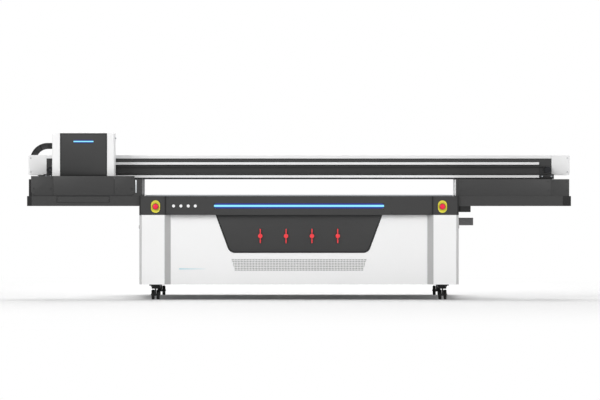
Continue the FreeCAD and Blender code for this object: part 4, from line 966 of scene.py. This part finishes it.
def chainBend():
    # the section is spun half a turn, then each link's side and back plates are set in
    low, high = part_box("chain_bend")
    centre = Vector((high.x, (low.y + high.y) / 2, (low.z + high.z) / 2))
    thick = chain["thick"]
    bend = addBlock("chainBend", (high.x - 0.001, low.y, high.z - thick), (high.x, high.y, high.z))
    steps = chain["bendLinks"] * chain["perLink"]
    work(bend, "FACE", lambda c, n: n.x < -0.9,
         (bpy.ops.mesh.spin, {"steps": steps, "angle": math.pi, "center": centre, "axis": (0, 1, 0)}))
    share = math.pi / chain["bendLinks"]

    def linkOf(c):
        return int(math.atan2(high.x - c.x, c.z - centre.z) / share)

    for odd in (0, 1):
        work(bend, "FACE", lambda c, n: abs(n.y) > 0.9 and c.x < high.x - 0.002 and linkOf(c) % 2 == odd,
             inset(0.005, -0.009 if odd else -0.002))
        work(bend, "FACE", lambda c, n: abs(n.y) < 0.1 and c.x < high.x - 0.002 and linkOf(c) % 2 == odd
             and abs(c.y - centre.y) < 0.05 and n.length > 0,
             inset(0.006, -0.003))
    freshSelection(bend)
    bpy.ops.object.mode_set(mode="EDIT")
    bpy.ops.mesh.select_all(action="SELECT")
    bpy.ops.mesh.remove_doubles(threshold=0.00005)
    bpy.ops.mesh.normals_make_consistent(inside=False)
    bpy.ops.object.mode_set(mode="OBJECT")
    return bend


def cableChain():
    bend = chainBend()
    settle(bend, "chain_bend", chainNylon, ["chain_bend"])
    lower = chainRun("chainLowerRun", "chain_lower_run")
    settle(lower, None, chainNylon, ["chain_lower_run"])
    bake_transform(lower)
    # drawn packed together at rest
    upper = chainRun("chainUpperRun", "chain_upper_run", chain["upperLinks"])
    settle(upper, None, chainNylon, ["chain_upper_run"])
    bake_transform(upper)


cableChain()
print("cable chain built")


# Casters: yoke with a cover, and twin wheels with hubs

caster = {"treadCorner": 0.006, "hub": 0.022}


def casterWheels(tag):
    node = f"{tag}_caster_wheels"
    low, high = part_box(node)
    middle = (low + high) / 2
    radius = (high.z - low.z) / 2
    wide = 0.025
    treads, hubs = [], []
    for way in (-1, 1):
        centre = Vector((middle.x + way * ((high.x - low.x) / 2 - wide / 2), middle.y, middle.z))
        tread = addRod("tread", "X", centre, radius, wide, 56)
        softenEdges(tread, caster["treadCorner"], 4, lambda c, d: abs(d.x) < 0.1)
        work(tread, "FACE", lambda c, n: abs(n.x) > 0.9 and (c - centre).length < wide,
             inset(0.009, -0.002))
        treads.append(tread)
        hub = addRod("hub", "X", centre, caster["hub"], wide - 0.002, 40)
        work(hub, "FACE", lambda c, n: abs(n.x) > 0.9,
             inset(0.004, -0.002, True),
             inset(0.007, 0.0015, True))
        hubs.append(hub)
    settle(joined(f"{tag}WheelTreads", treads), f"{tag}_wheels", wheelRubber, [node])
    settle(joined(f"{tag}WheelHubs", hubs), f"{tag}_wheels", mouldedNylonAndPaintedShade)


def casterYoke(tag):
    node = f"{tag}_caster_yoke"
    low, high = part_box(node)
    wheelLow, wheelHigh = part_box(f"{tag}_caster_wheels")
    middleX = (low.x + high.x) / 2
    axleY = (wheelLow.y + wheelHigh.y) / 2
    stemY = axleY - 0.028
    web = addBlock("web", (middleX - 0.006, stemY - 0.019, 0.03), (middleX + 0.006, axleY + 0.012, 0.108))
    softenEdges(web, 0.006, 3, lambda c, d: abs(d.x) > 0.9)
    axle = addRod("axle", "X", (middleX, axleY, 0.04), 0.006, high.x - low.x, 24)
    crown = addRod("crown", "Z", (middleX, stemY, 0.1085), 0.038, 0.0095, 48)
    softenEdges(crown, 0.003, 2, lambda c, d: abs(d.z) < 0.1)
    stem = addRod("stem", "Z", (middleX, stemY, 0.116), 0.009, 0.018, 24)
    # hood over the wheels, bent back from the crown
    hood = addBlock("hood", (middleX - 0.031, stemY - 0.034, 0.088), (middleX + 0.031, axleY + 0.03, 0.104))
    softenEdges(hood, 0.006, 3)
    piece = joined(f"{tag}Yoke", [web, axle, crown, stem, hood])
    settle(piece, f"{tag}_caster", mouldedNylonAndPaintedShade, [node])


for tag in ("front_left", "front_right", "rear_left", "rear_right"):
    casterWheels(tag)
    casterYoke(tag)
print("casters built")


# Stations: front cover with seams, black end strips as painted shade, doors, switch cover, socket lid and the
# beam's feet

station = {"seam": 0.002, "trim": (-1.327, -1.315), "doors": ((1.297, 2.040), (2.043, 2.188))}


def leftCover():
    low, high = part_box("left_front_cover")
    edges = (low.x, -1.993, -1.498, high.x)
    panels = []
    for index in range(3):
        left = edges[index] + (station["seam"] / 2 if index else 0)
        right = edges[index + 1] - (station["seam"] / 2 if index < 2 else 0)
        panel = addBlock("panel", (left, low.y, low.z), (right, high.y, high.z))
        end = low.x if index == 0 else high.x
        if index != 1:
            softenEdges(panel, 0.032, 6, lambda c, d: abs(d.y) > 0.99 and abs(c.x - end) < 0.001
                        and c.z < low.z + 0.001)
        softenEdges(panel, 0.0012, 2, ahead(low.y + 0.0001))
        panels.append(panel)
    settle(joined("leftFrontCover", panels), "gantry", charcoalPowderCoat, ["left_front_cover"])
    # a near-black strip under the cover: painted shade of the gap between the cover and the tray below
    foot = addBlock("leftCoverGapShade", (low.x + 0.02, low.y + 0.001, low.z - 0.0075),
                    (high.x - 0.02, high.y, low.z + 0.001))
    softenEdges(foot, 0.001, 1)
    settle(foot, "gantry", mouldedNylonAndPaintedShade)
    strip = addBlock("leftEdgeTrim", (station["trim"][0], -1.0115, 0.868),
                     (station["trim"][1], -1.0075, 0.972))
    softenEdges(strip, 0.0015, 2)
    settle(strip, "gantry", milledAluminium)


def endShadesAndLegLiner():
    # black strips at the trays' outer ends and down the left station's edge: painted shade where the rounded
    # ends turn away from the light
    spots = (("left_tray", -2.204, -2.167, 0.762, 0.841), ("left_station", -2.19, -2.168, 0.843, 0.978),
             ("right_tray", 2.138, 2.204, 0.762, 0.841))
    caps = []
    for node, left, right, foot, head in spots:
        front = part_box("right_station" if node == "right_tray" else node)[0].y
        cap = addBlock("cap", (left, front - 0.0015, foot), (right, front + 0.004, head))
        softenEdges(cap, 0.001, 2)
        caps.append(cap)
    settle(joined("stationEndShades", caps), "gantry", blackRubberAndPaintedShade)
    # bright liner on the right leg's inner face
    low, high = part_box("right_leg")
    liner = addBlock("legLiner", (low.x - 0.001, low.y + 0.004, low.z + 0.14),
                     (low.x, high.y - 0.02, high.z - 0.004))
    softenEdges(liner, 0.0004, 1)
    settle(liner, "gantry", whitePowderCoat)


def rightDoor():
    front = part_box("right_station")[0].y
    panels = []
    for left, right in station["doors"]:
        panel = addBlock("panel", (left, front - 0.002, 0.8435), (right, front, 0.978))
        softenEdges(panel, 0.0012, 2, ahead(front - 0.0019))
        panels.append(panel)
    settle(joined("rightStationDoors", panels), "gantry", charcoalPowderCoat)


def switchCap():
    # moulded cover of the limit switch under the right-hand tray
    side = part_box("right_leg")[1].x + 0.004
    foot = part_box("right_station")[0].z
    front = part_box("right_station")[0].y
    cap = addBlock("limitSwitchCap", (side - 0.001, front - 0.0015, foot - 0.001),
                   (side + 0.094, front + 0.0945, foot + 0.0475))
    softenEdges(cap, 0.003, 3)
    work(cap, "FACE", facingFront, inset(0.008, -0.001))
    settle(cap, "gantry", blackRubberAndPaintedShade)


def inletLid():
    # spring lid over the mains socket, with its hinge along the top
    low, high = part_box("power_inlet")
    lid = addBlock("inletLid", (low.x + 0.003, low.y - 0.004, low.z + 0.002),
                   (high.x - 0.003, low.y, high.z - 0.008))
    softenEdges(lid, 0.006, 3, deepWise)
    softenEdges(lid, 0.001, 2, ahead(low.y - 0.0039))
    work(lid, "FACE", lambda c, n: n.y < -0.99, inset(0.006, -0.0006))
    hinge = addRod("hinge", "X", ((low.x + high.x) / 2, low.y - 0.0025, high.z - 0.0045), 0.003,
                   high.x - low.x - 0.02, 20)
    settle(joined("inletLid", [lid, hinge]), "base", greyAbs)


def beamBrackets():
    # bent feet with two bolts each, which pin the rail ends and the cable glands
    plates, bolts = [], []
    for left, right, low, high in ((-2.09, -2.012, 0.984, 1.021), (1.968, 2.085, 0.981, 1.021)):
        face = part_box("beam")[0].y if left < 0 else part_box("x_motor")[0].y
        foot = addBlock("foot", (left, face - 0.012, low), (right, face, high))
        work(foot, "FACE", lambda c, n: n.z < -0.9, inset(0.003))
        softenEdges(foot, 0.003, 3)
        plates.append(foot)
        for x in (left + 0.02, right - 0.02):
            bolt = addRod("bolt", "Y", (x, face - 0.016, (low + high) / 2), 0.008, 0.008, 6)
            softenEdges(bolt, 0.001, 2)
            bolts.append(bolt)
    settle(joined("beamFeet", plates), "gantry", mouldedNylonAndPaintedShade)
    settle(joined("beamFootBolts", bolts), "gantry", zincSteel)


leftCover()
endShadesAndLegLiner()
rightDoor()
switchCap()
inletLid()
beamBrackets()
print("stations dressed")


# Screw places

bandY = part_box("control_band")[0].y
bandSpots = [(x, bandY, z) for x in (-1.275, -1.1, 1.1, 1.275) for z in (0.705, 0.825)]
bandSpots += [(x, bandY, z) for x in (-1.06, -0.75, 0.75, 1.06) for z in (0.705, 0.825)]
screwRow("bandScrews", "base", bandSpots, blackOxideSteel)
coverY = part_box("left_front_cover")[0].y
coverSpots = [(x, coverY, z) for x in (-2.15, -2.01, -1.48, -1.355) for z in (0.9, 0.985)]
screwRow("leftCoverScrews", "gantry", coverSpots, blackOxideSteel)
doorSpots = [(x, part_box("right_station")[0].y - 0.002, z) for x in (1.315, 2.02, 2.062, 2.172)
             for z in (0.885, 0.96)]
screwRow("rightDoorScrews", "gantry", doorSpots, blackOxideSteel)
print("screws copied")


# Studio: pale floor, soft lamps and a white surround

studio = {"floor": 60, "key": 580, "fill": 335, "top": 335, "back": 290, "sky": 0.33, "lift": 0.06}


def studioFloor():
    freshSelection()
    bpy.ops.mesh.primitive_plane_add(size=studio["floor"], location=(0, 0, 0))
    floor = bpy.context.object
    floor.name = "studioFloor"
    material, tree, shader = newMaterial("paintedStudioFloor")
    shader.inputs["Base Color"].default_value = toLinear("#FCFCFC")
    shader.inputs["Roughness"].default_value = 0.9
    shader.inputs["Specular IOR Level"].default_value = 0.1
    output = [n for n in tree.nodes if n.type == "OUTPUT_MATERIAL"][0]
    # the floor turns into the plain white surround some metres away from the machine
    place = addNode(tree, "ShaderNodeTexCoord").outputs["Object"]
    away = addNode(tree, "ShaderNodeVectorMath", {"operation": "LENGTH"}, {0: place}).outputs["Value"]
    share = addNode(tree, "ShaderNodeMapRange", {"interpolation_type": "SMOOTHSTEP", "From Min": 3.0,
                    "From Max": 9.0, "To Min": studio["lift"]}, {"Value": away}).outputs[0]
    path = addNode(tree, "ShaderNodeLightPath")
    seen = addNode(tree, "ShaderNodeMath", {"operation": "MAXIMUM"},
                   {0: path.outputs["Is Camera Ray"], 1: path.outputs["Is Glossy Ray"]}).outputs[0]
    part = addNode(tree, "ShaderNodeMath", {"operation": "MULTIPLY"}, {0: share, 1: seen}).outputs[0]
    white = addNode(tree, "ShaderNodeEmission", {"Strength": 1.0, "Color": (1, 1, 1, 1)})
    mix = addNode(tree, "ShaderNodeMixShader", links={0: part, 1: shader.outputs[0], 2: white.outputs[0]})
    tree.links.new(mix.outputs[0], output.inputs["Surface"])
    floor.data.materials.append(material)


def studioLamp(name, place, aim, size, power):
    bpy.ops.object.light_add(type="AREA", location=place)
    lamp = bpy.context.object
    lamp.name = name
    lamp.data.size = size
    lamp.data.energy = power
    lamp.rotation_euler = (Vector(aim) - Vector(place)).to_track_quat("-Z", "Y").to_euler()


def studioSky():
    world = bpy.data.worlds.new("studioWorld")
    bpy.context.scene.world = world
    world.use_nodes = True
    tree = world.node_tree
    tree.nodes.clear()
    path = addNode(tree, "ShaderNodeLightPath")
    seen = addNode(tree, "ShaderNodeMath", {"operation": "MAXIMUM"},
                   {0: path.outputs["Is Camera Ray"], 1: path.outputs["Is Glossy Ray"]}).outputs[0]
    strength = addNode(tree, "ShaderNodeMapRange", {"To Min": studio["sky"], "To Max": 1.0},
                       {"Value": seen}).outputs[0]
    back = addNode(tree, "ShaderNodeBackground", {"Color": (1, 1, 1, 1)}, {"Strength": strength})
    addNode(tree, "ShaderNodeOutputWorld", links={"Surface": back.outputs[0]})


studioFloor()
studioSky()
studioLamp("keyLamp", (-7, -9, 7), (0, 0, 0.7), 6, studio["key"])
studioLamp("fillLamp", (8, -9, 4), (0, 0, 0.7), 6, studio["fill"])
studioLamp("topLamp", (0, 3.2, 8), (0, 0, 0), 7, studio["top"])
studioLamp("backLamp", (0, 10, 6), (0, 0, 0.7), 6, studio["back"])
bpy.context.scene.view_settings.view_transform = "Standard"
print("studio lit")
